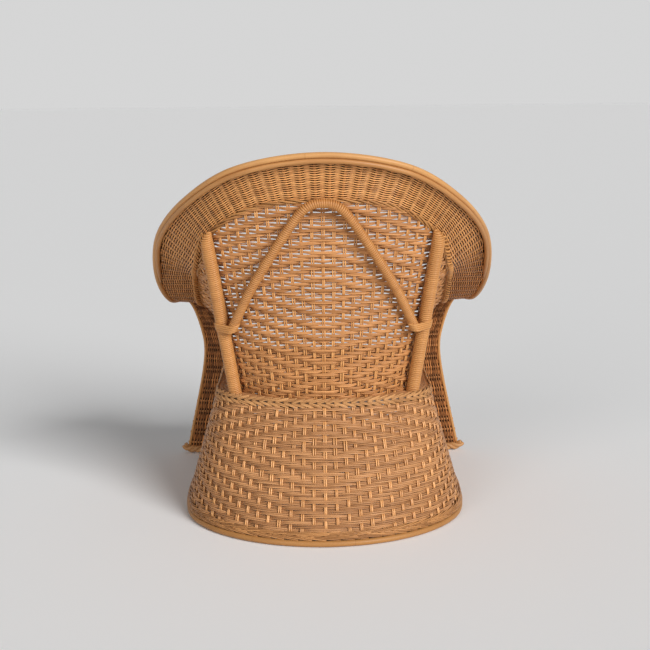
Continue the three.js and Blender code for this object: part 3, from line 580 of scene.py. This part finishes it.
post_diameter, waist_plait_thickness, waist_play = 0.023, 0.012, 0.0009
skirt_front, skirt_round, skirt_front_gap = 7, 0.295, 0.0128
pairs_per_side, skirt_seam, skirt_end = 34, 17.5, 33.8
skirt_rows, skirt_turn, skirt_split = 36, 24, 0.25
skirt_low, skirt_high, skirt_stake_foot = 0.080, 0.968, 0.04
skirt_weaver_thick, skirt_weaver_wide, skirt_stake_drift_rate = 0.0032, 0.0040, 7
skirt_finish = rattan("skirt_weaver", (0.580, 0.290, 0.121), (0.300, 0.132, 0.050))
waist_ledge = ring_diameter / 2 + waist_plait_thickness / 2 + waist_play
side_ledge = waist_ledge + waist_plait_thickness / 6
waist_at = station_curve([
    (0, seat_rear - waist_ledge, waist_height),
    (0.615 * corner_half, mix(seat_rear, corner_reach, 0.036), waist_height),
    (corner_half + 1.15 * post_diameter, corner_reach - 1.48 * post_diameter, waist_height),
    (seat_half + waist_ledge, mix(corner_reach, seat_front, 0.038), waist_height),
    (seat_half + side_ledge, mix(corner_reach, seat_front, 0.249), waist_height),
    (seat_half + side_ledge, mix(corner_reach, seat_front, 0.549), waist_height),
    (seat_half + waist_ledge, mix(corner_reach, seat_front, 0.816), waist_height),
    (seat_half + waist_ledge, seat_front, waist_height)])
floor_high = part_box("floor_hoop")[1]
floor_level = floor_hoop_diameter / 2
skirt_half = floor_high.x - flat_share * floor_level
leg_foot = hoop_at(foot_end)
round_angles = np.radians([0, 22.5, 45, 67.5, 90])
round_points = np.stack([skirt_half * np.sin(round_angles), skirt_round * (1 - np.cos(round_angles)),
                         floor_level + 0 * round_angles], -1) + rear_middle
side_start = round_points[-1, 1]
floor_at = station_curve(np.vstack([round_points, [
    (skirt_half, mix(side_start, leg_foot[1], 0.356), floor_level),
    (0.945 * skirt_half, mix(side_start, leg_foot[1], 0.724), floor_level),
    (leg_foot[0], leg_foot[1] - skirt_front_gap, floor_level)]]))
skirt_stations = np.linspace(-skirt_front, skirt_front, 1401)


def by_pair(curve):
    """The curve read by stake pair: pairs stand evenly along it, from one front leg to the other."""
    lengths = lengths_along(curve(skirt_stations))
    numbers = pairs_per_side * (2 * lengths / lengths[-1] - 1)
    return lambda pair: curve(np.interp(pair, numbers, skirt_stations))


waist_by_pair, floor_by_pair = by_pair(waist_at), by_pair(floor_at)


def skirt(pair, share):
    """Straight rulings from the floor hoop up to the waist, one for each stake pair."""
    return mix(floor_by_pair(pair), waist_by_pair(pair), np.asarray(share)[..., None])


def skirt_phase(pair, row):
    """Twill phase: one pair for each row, turned back at one row."""
    return np.abs(row - skirt_turn) + from_middle(pair)


def skirt_stake_phase(pair, share):
    """Twill phase at a place on a stake, whose row number may lie between two rows."""
    return skirt_phase(pair, (share - skirt_low) / (skirt_high - skirt_low) * skirt_rows - 0.5)


row_of = np.repeat(np.arange(skirt_rows), 2)[:, None]
rows = row_of + skirt_split * np.tile([-1, 1], skirt_rows)[:, None]
pairs = np.linspace(-skirt_end, skirt_end, 226)[None]
rows = rows + wander(2 * skirt_rows, weaver_drift_rate * pairs, weaver_drift / row_pitch, seed=22)
pairs, shares = np.broadcast_arrays(pairs, mix(skirt_low, skirt_high, (rows + 0.5) / skirt_rows))
weavers = woven_rows("skirt_weavers", skirt, pairs, shares, skirt_phase(pairs, row_of), skirt_weaver_thick,
                     skirt_weaver_wide, seed=23)
fit(weavers, skirt_finish, "twill", "skirt_rear", "skirt_side_right", "skirt_side_left")

for node, first, last in (("skirt_rear", -skirt_seam, skirt_seam),
                          ("skirt_side_right", skirt_seam, skirt_end),
                          ("skirt_side_left", -skirt_end, -skirt_seam)):
    pairs = np.arange(math.ceil(first), math.floor(last) + 1)
    stakes = woven_stakes(f"{node}_stakes", skirt, pairs, np.linspace(skirt_stake_foot, 1, 80),
                          skirt_stake_phase, skirt_stake_drift_rate, drift_seed=28, seed=29)
    fit(stakes, stake_finish, "twill", node)


# Waist plait: a border of reeds plaited flat over the stakes where the tub meets the skirt, on a near-black
# core of painted shade.
# Its two rows of slanting floats meet on the centre line as a chain of arrowheads. Above it, reeds laid
# round in rows close the ledge between the plait and the seat ring.

plait_core_thick, plait_core_sides, waist_core_high = 0.006, 10, 0.018
waist_spacing, waist_float, waist_plait_half = 0.0190, 0.030, 0.0092
waist_swell, waist_reed, waist_reeds_per_float = 0.0050, 0.0024, 3
ledge_reed, ledge_rise, ledge_rows = 0.0038, 0.0068, 11
round_shares = np.linspace(-1, 1, 300)
plait_finish = rattan("plait_reed", (0.625, 0.330, 0.132), (0.315, 0.143, 0.050))
# The plait core's near-black colour is painted shade, which shows between the floats and the strands.
plait_painted_shade_finish = rattan("plait_core", (0.088, 0.036, 0.011), (0.049, 0.020, 0.006))


def waist_line(share):
    """Waist curve read from -1 at the left front to 1 at the right front."""
    return waist_at(skirt_front * np.asarray(share))


def skirt_slope(share):
    """Way up the skirt at a share of the way round."""
    return unit(waist_line(share) - floor_at(skirt_front * np.asarray(share)))


def way_along(curve, place, small):
    """Way along a curve at a place, from the points a little before it and a little after it."""
    return unit(curve(place + small) - curve(place - small))


def plait(name, line, core_high, spacing, float_length, half_height, swell, reed, reeds_per_float, finish,
          seed, node):
    """Two rows of slanting floats along a line round the skirt, over a flat near-black core of painted
    shade.

    A float starts on the centre line, runs along it for the float length and climbs to the half height, as
    share**0.85. It stands out by the swell times 0.45 + 0.55 * the sine of half a turn, so that its ends
    tuck under. Its reeds lie beside each other 0.98 of a reed apart, each 0.35 of a reed further on."""
    # The core is painted shade that darkens the gaps between the floats.
    core = reeds(f"{name}_core", line(round_shares), skirt_slope(round_shares), core_high, plait_core_thick,
                 plait_core_sides)
    fit(core, plait_painted_shade_finish, "plait", node)
    first_float = 0.002
    table = np.linspace(-1, 1, 2001)
    length = lengths_along(line(table))
    starts = np.arange(first_float, length[-1] - float_length, spacing)[:, None, None, None]
    share = np.linspace(0, 1, 10)
    half = np.array([1, -1])[None, :, None, None]
    strand = (np.arange(reeds_per_float) - (reeds_per_float - 1) / 2)[None, None, :, None]
    where = np.interp(starts + float_length * share + 0.35 * reed * strand * half, length, table)
    climb = half * half_height * share**0.85 + strand * reed * 0.98
    depth = swell * (0.45 + 0.55 * np.sin(math.pi * np.clip(share + 0.08, 0, 1))) + 0 * climb
    rise = skirt_slope(where)
    out = unit(np.cross(way_along(line, where, small=0.002), rise))
    floats = reeds(name, line(where) + climb[..., None] * rise + depth[..., None] * out, out, reed, reed,
                   seed=seed)
    fit(floats, finish, "plait", node)


plait("waist_plait", waist_line, waist_core_high, waist_spacing, waist_float, waist_plait_half, waist_swell,
      waist_reed, waist_reeds_per_float, plait_finish, 31, "waist_braid")
waist_lengths = lengths_along(waist_line(round_shares))
waist_shares = 2 * waist_lengths / waist_lengths[-1] - 1
ledge_ring = ring_at(np.interp(waist_shares, ring_lengths / ring_lengths[-1], table_stations))
ledge_share = ((np.arange(ledge_rows) + 1) / ledge_rows)[:, None, None]
ledge_paths = mix(waist_line(round_shares), ledge_ring, ledge_share) + up * ledge_rise
fit(reeds("waist_ledge", ledge_paths, up, ledge_reed, ledge_reed, seed=33), skirt_finish,
    "plait", "waist_braid")


# Foot of the skirt: a cane hoop on the floor, bent in one length from front leg to front leg.
# Above it a plait of doubled reeds over a near-black core of painted shade binds the ends of the stakes.

floor_plait_rise, floor_core_high, cane_sides = 0.0160, 0.016, 10
foot_spacing, foot_float, foot_plait_half = 0.031, 0.068, 0.0074
foot_swell, foot_reed, foot_reeds_per_float = 0.0062, 0.0034, 2
hoop_finish = rattan("floor_cane", (0.470, 0.225, 0.070), (0.320, 0.140, 0.040))
foot_finish = rattan("floor_plait_reed", (0.550, 0.265, 0.095), (0.250, 0.105, 0.034))
floor_path = floor_at(skirt_front * round_shares)
fit(rod("floor_cane", floor_path, up, floor_hoop_diameter, cane_sides), hoop_finish, "cane", "floor_hoop")


def floor_plait_line(share):
    """Centre of the floor plait: the floor hoop, moved up the slope of the skirt."""
    return floor_at(skirt_front * np.asarray(share)) + floor_plait_rise * skirt_slope(share)


plait("floor_plait", floor_plait_line, floor_core_high, foot_spacing, foot_float, foot_plait_half,
      foot_swell, foot_reed, foot_reeds_per_float, foot_finish, 37, "floor_braid")


# Front apron: a sheet below the seat between the front legs, woven of flat reeds in the seat's twill.
# Its broad splints stand on a cane rail at the floor, and its reeds end at the front legs.

apron_gap, apron_turn, apron_pair_pitch, apron_splints = 0.010, 18, 0.021, 11
apron_first_row, apron_last_row = 0.005, 0.002
apron_weaver_thick, apron_weaver_wide, apron_weaver_swing = 0.0028, 0.0062, 0.0026
apron_splint_thick, apron_splint_wide = 0.0032, 0.0085
fit(rod("floor_rail", rail_line("front_floor_rail", 30), up, floor_hoop_diameter, cane_sides), hoop_finish,
    "cane", "front_floor_rail")
apron_low, apron_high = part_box("front_apron")
apron_rows = np.arange(apron_low.z + apron_first_row, apron_high.z - apron_last_row, row_pitch)
apron_leg = hoop_at(foot_end - apron_rows / waist_height)
apron_x = (apron_leg[:, :1] - apron_gap) * np.linspace(-1, 1, 80)
apron_shift = np.abs(np.arange(len(apron_rows)) - apron_turn)[:, None]
apron_phase = apron_shift + from_middle(apron_x / apron_pair_pitch)
apron_y = apron_leg[:, 1:2] + apron_weaver_swing * twill(apron_phase)
apron_paths = np.stack([apron_x, apron_y, apron_rows[:, None] + 0 * apron_x], -1)
fit(reeds("apron_weavers", apron_paths, ahead, apron_weaver_thick, apron_weaver_wide, seed=41),
    weaver_finish, "twill", "front_apron")
splint_x = np.arange(-apron_splints, apron_splints + 1)[:, None] * apron_pair_pitch
splint_z = np.linspace(apron_low.z, apron_high.z, 70)
splint_y = np.interp(splint_z, apron_rows, apron_leg[:, 1])
apron_paths = np.stack(np.broadcast_arrays(splint_x, splint_y, splint_z), -1)
fit(reeds("apron_stakes", apron_paths, ahead, apron_splint_thick, apron_splint_wide, seed=43),
    stake_finish, "twill", "front_apron")


# Rim canes: a thick cane along the edge of the whole strip, from foot to foot, thinner on the lapels.
# A cane is nailed along each face of the collar just below it, so that the top edge shows three canes side
# by side.

rim_end, lapel_edge_diameter, thinning_start = 8.935, 0.008, 5.4
face_diameter, face_end, face_taper, face_loss = 0.011, 4.2, 0.6, 0.8
face_inwards, face_outwards = 0.75, 0.661
cane_finish = rattan("cane", (0.706, 0.374, 0.133), (0.431, 0.191, 0.058), 0.4)
rim_stations = np.linspace(-rim_end, rim_end, 420)
rim_girth = mix(edge_diameter, lapel_edge_diameter, np.clip(np.abs(rim_stations) - thinning_start, 0, 1))
fit(rod("edge_cane", rim_at(rim_stations), ahead, rim_girth), cane_finish, "cane", "rim_cane_edge")
face_stations = np.linspace(-face_end, face_end, 280)
face_rim = rim_at(face_stations)
face_in = unit(hoop_at(face_stations) - face_rim)
face_back = unit(np.cross(np.gradient(face_rim, axis=0), face_in))
face_thinning = np.clip((np.abs(face_stations) - face_end + face_taper) / face_taper, 0, 1)**2
face_girth = face_diameter * (1 - face_loss * face_thinning)
face_apart = (edge_diameter + face_girth[:, None]) / 2
for node, direction in (("rim_cane_rear", -1), ("rim_cane_front", 1)):
    face_path = face_rim + face_apart * (face_inwards * face_in + face_outwards * direction * face_back)
    fit(rod(f"{node}_reed", face_path, face_back, face_girth, seed=3), cane_finish, "cane", node)


# Flared strip: the collar behind the head, the arms, and the lapels down the front corners.
# Thin round reeds are woven close, over one pair of stakes and under the next. The stakes run across the
# strip, and behind the weavers a near-black sheet of painted shade fills the space from each pair to the
# next.

strip_weavers, lapel_weavers, lapel_end = 33, 24, 8.95
strip_stake, strip_stake_apart, strip_pair_pitch, shade_sheet_thick = 0.0028, 0.96, 0.031, 0.0010
strip_swing, swing_power, strip_drift, strip_drift_rate = 0.0025, 2.7, 0.06, 1.1
strip_reed_wide, strip_reed_thick, steps_per_pair = 0.93, 0.7, 6
strip_stake_span, shade_sheet_span = np.linspace(-0.10, 1.03, 9), np.linspace(-0.03, 1, 9)
weave_start, plain_start, lapel_start, start_blend, hoop_lap = 0.0136, 0.0070, 0.0042, 0.5, 0.006
# The collar reed is paler than the other reeds: partly painted highlight, the gleam on its floats.
collar_painted_highlight_finish = rattan("collar_reed", (0.920, 0.440, 0.142), (0.560, 0.238, 0.070), 0.45, 0.2)
# The strip's stakes are darker than its reeds: painted shade in the gaps of the weave.
strip_stake_painted_shade_finish = rattan("collar_stake", (0.600, 0.272, 0.086), (0.300, 0.122, 0.036))
# The lapel reed is darker than the other reeds: painted shade of the lapels, which face away from the
# light.
lapel_painted_shade_finish = rattan("lapel_reed", (0.660, 0.262, 0.080), (0.160, 0.055, 0.015))


def strip_line(station, share):
    """Point at a share of the free width between the canes of the rim and the hoop.

    Returns the point, the face's normal, the way along the strip, taken by small differences from the rim
    and the hoop together, and the free width."""
    small = 0.01
    rim, hoop = rim_at(station), hoop_at(station)
    width = np.linalg.norm(hoop - rim, axis=-1, keepdims=True)
    inwards = (hoop - rim) / width
    start_stations = (face_end - start_blend, face_end, thinning_start, thinning_start + 1)
    start = np.interp(np.abs(station), start_stations,
                      (weave_start, plain_start, plain_start, lapel_start))[..., None]
    free = width - start - hoop_diameter / 2 + hoop_lap
    after, before = station + small, station - small
    way = unit(rim_at(after) - rim_at(before) + hoop_at(after) - hoop_at(before))
    return rim + inwards * (start + free * share), unit(np.cross(inwards, way)), way, free


def strip_weave(name, first, last, weavers, finish, seed, *nodes):
    """Plain weave between the rim and the hoop: weavers, pairs of stakes and near-black sheets of painted
    shade.

    Weaver number j lies at an even share of the width and swings to either face by the swing times
    cos(pi * (pair + j + 0.5)) to the swing power, with its sign kept. Pairs of stakes cross at the halves
    between whole pair numbers, counted along the middle of the strip. A near-black sheet of painted shade
    lies between each pair and the next, as wide as the way from one to the other, and darkens the gaps."""
    table = np.linspace(first, last, 1600)
    length = lengths_along((rim_at(table) + hoop_at(table)) / 2)
    pairs_here = max(2, round(length[-1] / strip_pair_pitch))
    pair = length / length[-1] * pairs_here
    at_pair = np.linspace(0, pairs_here, steps_per_pair * pairs_here + 1)
    number = np.arange(weavers)[:, None]
    shares = (number + 0.5 + wander(weavers, strip_drift_rate * at_pair, strip_drift, seed)) / weavers
    points, face, _, free = strip_line(np.interp(at_pair, pair, table)[None], shares[..., None])
    wave = np.cos(math.pi * (at_pair + number + 0.5))
    swing = strip_swing * np.sign(wave) * np.abs(wave)**swing_power
    pitch = free[..., 0] / weavers
    piece = reeds(f"{name}_weavers", points + swing[..., None] * face, face, strip_reed_thick * pitch,
                  strip_reed_wide * pitch, seed=seed)
    fit(piece, finish, "fine_weave", *nodes)

    stake_at = np.interp(np.arange(pairs_here) + 0.5, pair, table)[:, None, None]
    beside = np.array([-0.5, 0.5])[None, :, None] * strip_stake_apart * strip_stake
    stations, shares, beside = np.broadcast_arrays(stake_at, strip_stake_span, beside)
    points, face, way, _ = strip_line(stations, shares[..., None])
    piece = reeds(f"{name}_stakes", points + beside[..., None] * way, face, strip_stake, strip_stake,
                  seed=seed)
    fit(piece, strip_stake_painted_shade_finish, "fine_weave", *nodes)

    edges = np.clip(np.arange(pairs_here + 2) - 0.5, 0, pairs_here)
    places = np.stack([edges[:-1], (edges[:-1] + edges[1:]) / 2, edges[1:]])
    stations, shares = np.broadcast_arrays(np.interp(places, pair, table)[..., None], shade_sheet_span)
    points, face, _, _ = strip_line(stations, shares[..., None])
    splint_wide = np.linalg.norm(points[2] - points[0], axis=-1)
    # Near-black sheets of painted shade between the stake pairs darken the gaps of the weave.
    piece = reeds(f"{name}_splints", points[1], face[1], shade_sheet_thick, splint_wide, 8, seed=seed)
    fit(piece, painted_shade_finish, "fine_weave", *nodes)


strip_weave("collar", -nose, nose, strip_weavers, collar_painted_highlight_finish, 47,
            "collar_weave", "arm_weave_right", "arm_weave_left")
for side, sign in both_sides:
    strip_weave(f"lapel_{side}", *sorted((sign * nose, sign * lapel_end)), lapel_weavers, lapel_painted_shade_finish, 59,
                f"lapel_{side}")


# Edge chain: two strands of reed that cross over each other in figures of eight, sewn along the inner edge
# of the arms on their rear and lower face. A flat near-black strip of painted shade lies under them and
# shows in their eyes.

chain_start, chain_end, chain_inset = 2.15, 6.05, 0.0095
chain_strand, chain_half, chain_turn = 0.0044, 0.0052, 0.030
chain_lift, chain_bed_lift, chain_bed_wide, chain_bed_thick = 0.0050, 0.0030, 0.0105, 0.002
chain_finish = rattan("chain_reed", (0.640, 0.305, 0.098), (0.360, 0.150, 0.043))
for side, sign in both_sides:
    stations = np.sort(sign * np.linspace(chain_start, chain_end, 620))
    chain_rise = unit(rim_at(stations) - hoop_at(stations))
    chain_face = unit(np.cross(way_along(hoop_at, stations, small=0.01), chain_rise))
    chain_line = hoop_at(stations) + chain_inset * chain_rise
    turns = lengths_along(chain_line) / chain_turn + np.array([[0.0], [0.5]])
    angle = 2 * math.pi * turns[..., None]
    chain_paths = (chain_line + chain_half * np.sin(angle) * chain_rise
                   + (chain_lift + chain_strand / 2 * np.cos(angle)) * chain_face)
    bed_path = chain_line + chain_bed_lift * chain_face
    # A near-black strip of painted shade under the chain darkens its eyes.
    bed = reeds(f"edge_chain_core_{side}", bed_path, chain_rise, chain_bed_wide, chain_bed_thick, sides=8)
    fit(bed, painted_shade_finish, "fine_weave", f"arm_weave_{side}")
    chain = reeds(f"edge_chain_{side}", chain_paths, chain_face, chain_strand, chain_strand, seed=63)
    fit(chain, chain_finish, "fine_weave", f"arm_weave_{side}")


# Foot rolls: a short rope of three thick reeds at the foot of each lapel, on which the edge cane stands.
# It lies on the floor, its outer end curls up, and a near-black core of painted shade fills its middle.

foot_roll, roll_strands, roll_strand, roll_turn = 0.0205, 3, 0.0104, 0.052
roll_curl, curl_start, roll_core = 0.010, 0.82, 0.6
for side, sign in both_sides:
    low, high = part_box(f"foot_braid_{side}")
    near, far = sorted((low.x, high.x), key=abs)
    roll_share = np.linspace(0, 1, 60)
    roll_path = mix(np.array([near, low.y + foot_roll / 2, foot_roll / 2]),
                    np.array([far, high.y - foot_roll / 2, foot_roll / 2]), roll_share[:, None])
    roll_path[:, 2] += roll_curl * np.clip((roll_share - curl_start) / (1 - curl_start), 0, 1)**2
    # The roll's core is near-black painted shade between its strands.
    fit(rod(f"foot_roll_core_{side}", roll_path, up, roll_core * roll_strand, core_sides),
        plait_painted_shade_finish, "plait", f"foot_braid_{side}")
    roll = rope(f"foot_roll_{side}", roll_path, roll_strands, roll_strand, (foot_roll - roll_strand) / 2,
                sign * roll_turn, sides=8, seed=61)
    fit(roll, plait_finish, "plait", f"foot_braid_{side}")


# Rear posts: poles that stand behind the tub's corners from the floor to the collar, bent below the seat.
# Above the waist they are wound with rounded peel, turn against turn, closed in a dome at the top.

peel_thick, peel_pitch, peel_spread, steps_per_turn = 0.0038, 0.0047, 1.06, 20
wrapped_post, post_head, post_sides = 0.0300, 0.036, 14
floor_plait_thickness, post_play = 0.013, 0.0006
post_off_seat, post_off_hoop, post_over_hoop = 0.0221, 0.0233, 0.008
bend_start_drop, bend_corner_drop, bend_end_share = 0.104, 0.208, 0.3
dome_lean, dome_share, head_drop, head_share, shaft_stop = 0.4, 0.995, 0.002, 0.99, 1.3
peel_finish = rattan("peel", (0.666, 0.325, 0.102), (0.421, 0.174, 0.049), 0.4)
skirt_middle = rear_middle + (0, skirt_round, floor_level)
post_inset = (post_diameter + floor_plait_thickness) / 2 + post_play
floor_corner = floor_at(corner)
corner_slope = unit(waist_at(corner) - floor_corner)
post_foot = floor_corner + unit(skirt_middle - floor_corner) * post_inset / corner_slope[2]**2
post_foot[2] = 0
corner_way = way_along(ring_at, corner, small=0.02)
post_at_seat = ring_at(corner) + post_off_seat * np.array([corner_way[1], -corner_way[0], 0])
shoulder_way = way_along(hoop_at, corner, small=0.02)
shoulder_out = unit(np.cross(shoulder_way, hoop_at(corner) - ring_at(corner)))
post_at_hoop = hoop_at(corner) + shoulder_out * post_off_hoop
post_way = unit(post_at_hoop - post_at_seat)
post_top = post_at_hoop + post_over_hoop * post_way


def read_along(at, lengths, rows):
    """Rows of numbers read at places along a length, by straight blends between neighbours."""
    return np.stack([np.interp(at, lengths, column) for column in rows.T], -1)


def wound(name, path, outer_radius, thick, pitch, seed, dome=0.0, lean=0.0):
    """One rounded peel wound round a path: centre + radius * (cos * normal + sin * binormal), one turn in
    each pitch. Over the dome's length at the end the radius falls as the root of 1 - share squared, and the
    centre moves along the lean vector by what the radius loses, so that the dome slopes to one side."""
    length = lengths_along(path)
    at = np.linspace(0, length[-1], int(length[-1] / pitch * steps_per_turn))
    centre = read_along(at, length, path)
    way = unit(read_along(at, length, unit(np.gradient(path, axis=0))))
    normal, binormal = cross_ways(way, lean=0.2)
    angle = 2 * math.pi * at[:, None] / pitch
    out = np.cos(angle) * normal + np.sin(angle) * binormal
    radius = outer_radius - thick / 2 + 0 * angle
    if dome:
        left = np.sqrt(1 - np.clip((at[:, None] - length[-1] + dome) / dome, 0, dome_share)**2)
        centre = centre + (1 - left) * radius * lean
        radius = radius * left
    return reeds(name, centre + radius * out, out, thick, peel_spread * pitch, sides=8, seed=seed)


for side, sign in both_sides:
    flip = np.array([sign, 1, 1])
    bend_start = post_at_seat - post_way * bend_start_drop * waist_height
    bend_corner = post_at_seat - post_way * bend_corner_drop * waist_height
    bend_end = mix(bend_start, post_foot, bend_end_share)
    share = np.linspace(0, 1, 16)[:, None]
    bend = mix(mix(bend_end, bend_corner, share), mix(bend_corner, bend_start, share), share)
    inner_side = unit(np.array([-sign, dome_lean, 0]))
    head = np.linspace(0, 1, 9)[:, None]
    head_left = np.sqrt(1 - (head_share * head)**2)
    head_path = post_top + post_head * (head - 1) * post_way - head_drop * post_way
    head_path = head_path * flip + (1 - head_left) * post_diameter / 2 * inner_side
    shaft_end = post_top - shaft_stop * post_head * post_way
    shaft_path = mix(post_at_seat, shaft_end, np.linspace(0, 1, 12)[:, None])
    post_path = np.vstack([np.vstack([post_foot, bend, shaft_path]) * flip, head_path])
    post_girth = post_diameter * np.r_[np.ones(len(post_path) - len(head)), head_left[:, 0]]
    fit(rod(f"post_pole_{side}", post_path, ahead, post_girth, post_sides), pole_finish,
        "pole", f"rear_post_{side}")
    wrap_path = mix(post_at_seat, post_top, np.linspace(0, 1, 60)[:, None]) * flip
    winding = wound(f"post_winding_{side}", wrap_path, wrapped_post / 2, peel_thick, peel_pitch, 67,
                    dome=post_head, lean=inner_side)
    fit(winding, peel_finish, "peel", f"post_wrap_{side}")


# Brace: one bent cane from post to post, up over the back to the crest, where it is bent round tightly.
# It is wound with peel from end to end, and its ends lie against the posts on their inner side.

brace_diameter, wrapped_brace, brace_peel_thick = 0.016, 0.0212, 0.0034
brace_standoff, brace_end = 0.0221, 5.9
joint_share, joint_drop, joint_apart, apex_apart = 0.43, 0.006, 0.0265, 0.0193


def behind_tub(station, share):
    """Point that stands off the back of the tub along its normal."""
    out, _ = surface_normal(tub, np.array(station), np.array(share))
    return tub(np.array(station), np.array(share)) + brace_standoff * out


post_joint = mix(post_at_seat, post_at_hoop - joint_drop * post_way, joint_share)
brace_joint = post_joint + unit(np.array([-0.62, -0.79, 0.0])) * joint_apart
apex = hoop_at(0.0) + unit(np.array([0.0, -0.96, -0.28])) * apex_apart
knee = behind_tub(1.22, 0.6)
brace_at = station_curve([
    apex, apex + brace_diameter * np.array([1.44, 0, -0.19]),
    apex + brace_diameter * np.array([2.72, 0.11, -1]),
    behind_tub(0.76, 0.765), knee, mix(knee, brace_joint, 0.55), brace_joint])
brace_path = brace_at(np.linspace(-brace_end, brace_end, 400))
fit(rod("brace_cane", brace_path, ahead, brace_diameter), pole_finish, "pole", "back_brace")
fit(wound("brace_winding", brace_path, wrapped_brace / 2, brace_peel_thick, peel_pitch, 71), peel_finish,
    "peel", "brace_wrap")


# Bindings: peel wound round post and brace together where they meet, turn above turn.
# Each turn follows the farther of the two round its outside, as a band pulled tight does.

binding_turns, binding_pitch, binding_rise, binding_play = 4, 0.0047, 0.005, 0.0006
binding_steps, binding_place = 40, 5.6
for side, sign in both_sides:
    flip = np.array([sign, 1, 1])
    axis = post_way * flip
    leg = unit((brace_at(binding_place) - brace_joint) * flip)
    stretch = 1 / leg.dot(axis)
    normal = unit(aside - aside.dot(axis) * axis)
    binormal = np.cross(axis, normal)
    turn = np.linspace(0, binding_turns, binding_turns * binding_steps)[:, None]
    climb = binding_pitch * turn + binding_rise
    around = np.cos(2 * math.pi * turn) * normal + np.sin(2 * math.pi * turn) * binormal
    post_centre = post_joint * flip + climb * axis
    brace_level = (brace_joint * flip - post_joint * flip).dot(axis)
    brace_centre = brace_joint * flip + (climb - brace_level) * stretch * leg
    post_radius, brace_radius = wrapped_post / 2 + binding_play, wrapped_brace / 2 * stretch
    post_reach = (post_centre * around).sum(1) + post_radius
    brace_reach = (brace_centre * around).sum(1) + brace_radius
    on_post = (post_reach > brace_reach)[:, None]
    path = np.where(on_post, post_centre + post_radius * around, brace_centre + brace_radius * around)
    binding = reeds(f"binding_{side}", path, around, peel_thick, peel_spread * binding_pitch, 8, seed=73)
    fit(binding, peel_finish, "peel", f"brace_binding_{side}")


# Studio: a plain pale floor and surround, a wide soft light behind the chair's back on the right,
# a weaker one on the left and one above.

floor_half, floor_drop, floor_grey = 30, 0.001, 0.93
floor_corners = floor_half * np.array([(-1, -1, 0), (1, -1, 0), (1, 1, 0), (-1, 1, 0)]) - floor_drop * up
floor_mesh = bpy.data.meshes.new("floor")
floor_mesh.from_pydata(floor_corners.tolist(), [], [(0, 1, 2, 3)])
floor = bpy.data.objects.new("floor", floor_mesh)
bpy.context.scene.collection.objects.link(floor)
floor_finish = bpy.data.materials.new("pale_floor")
floor_finish.use_nodes = True
floor_shader = floor_finish.node_tree.nodes["Principled BSDF"]
floor_shader.inputs["Base Color"].default_value = (floor_grey, floor_grey, floor_grey, 1)
floor_shader.inputs["Roughness"].default_value = 0.9
floor_shader.inputs["Specular IOR Level"].default_value = 0.1
floor_mesh.materials.append(floor_finish)

world = bpy.data.worlds.new("studio")
world.use_nodes = True
bpy.context.scene.world = world
world_nodes, world_links = world.node_tree.nodes, world.node_tree.links
sky = world_nodes["Background"]
sky.inputs["Color"].default_value = (1.0, 1.0, 1.0, 1)
sky.inputs["Strength"].default_value = 0.10
seen = world_nodes.new("ShaderNodeBackground")
seen.inputs["Color"].default_value = (0.67, 0.67, 0.67, 1)
path_kind = world_nodes.new("ShaderNodeLightPath")
seen_or_mirrored = world_nodes.new("ShaderNodeMath")
seen_through = world_nodes.new("ShaderNodeMath")
seen_through.use_clamp = True
world_links.new(path_kind.outputs["Is Camera Ray"], seen_or_mirrored.inputs[0])
world_links.new(path_kind.outputs["Is Glossy Ray"], seen_or_mirrored.inputs[1])
world_links.new(seen_or_mirrored.outputs["Value"], seen_through.inputs[0])
world_links.new(path_kind.outputs["Is Transmission Ray"], seen_through.inputs[1])
choose = world_nodes.new("ShaderNodeMixShader")
world_links.new(seen_through.outputs["Value"], choose.inputs["Fac"])
world_links.new(sky.outputs["Background"], choose.inputs[1])
world_links.new(seen.outputs["Background"], choose.inputs[2])
world_links.new(choose.outputs["Shader"], world_nodes["World Output"].inputs["Surface"])


def soft_light(name, back, spread, strength):
    """Wide sun whose light comes from the given direction; the spread in degrees softens its shadows."""
    lamp = bpy.data.lights.new(name, "SUN")
    lamp.angle, lamp.energy = math.radians(spread), strength
    holder = bpy.data.objects.new(name, lamp)
    holder.location = back
    tilt = math.atan2(math.hypot(back[0], back[1]), back[2])
    holder.rotation_euler = (tilt, 0, math.atan2(back[0], -back[1]))
    bpy.context.scene.collection.objects.link(holder)


soft_light("key_light", (1.8, -2.4, 1.4), 28, 3.2)
soft_light("fill_light", (-1.4, -2.5, 1.0), 30, 0.8)
soft_light("top_light", (-0.3, 0.3, 2.6), 70, 0.25)

camera_data = bpy.data.cameras.new("camera")
camera_data.sensor_width = 36
camera_data.lens = 74.77
camera = bpy.data.objects.new("camera", camera_data)
camera.location = (-0.020, -3.1775, 1.040)
camera.rotation_euler = (math.radians(79), math.radians(0.55), math.radians(-0.56))
bpy.context.scene.collection.objects.link(camera)
bpy.context.scene.camera = camera
bpy.context.scene.view_settings.view_transform = "Standard"
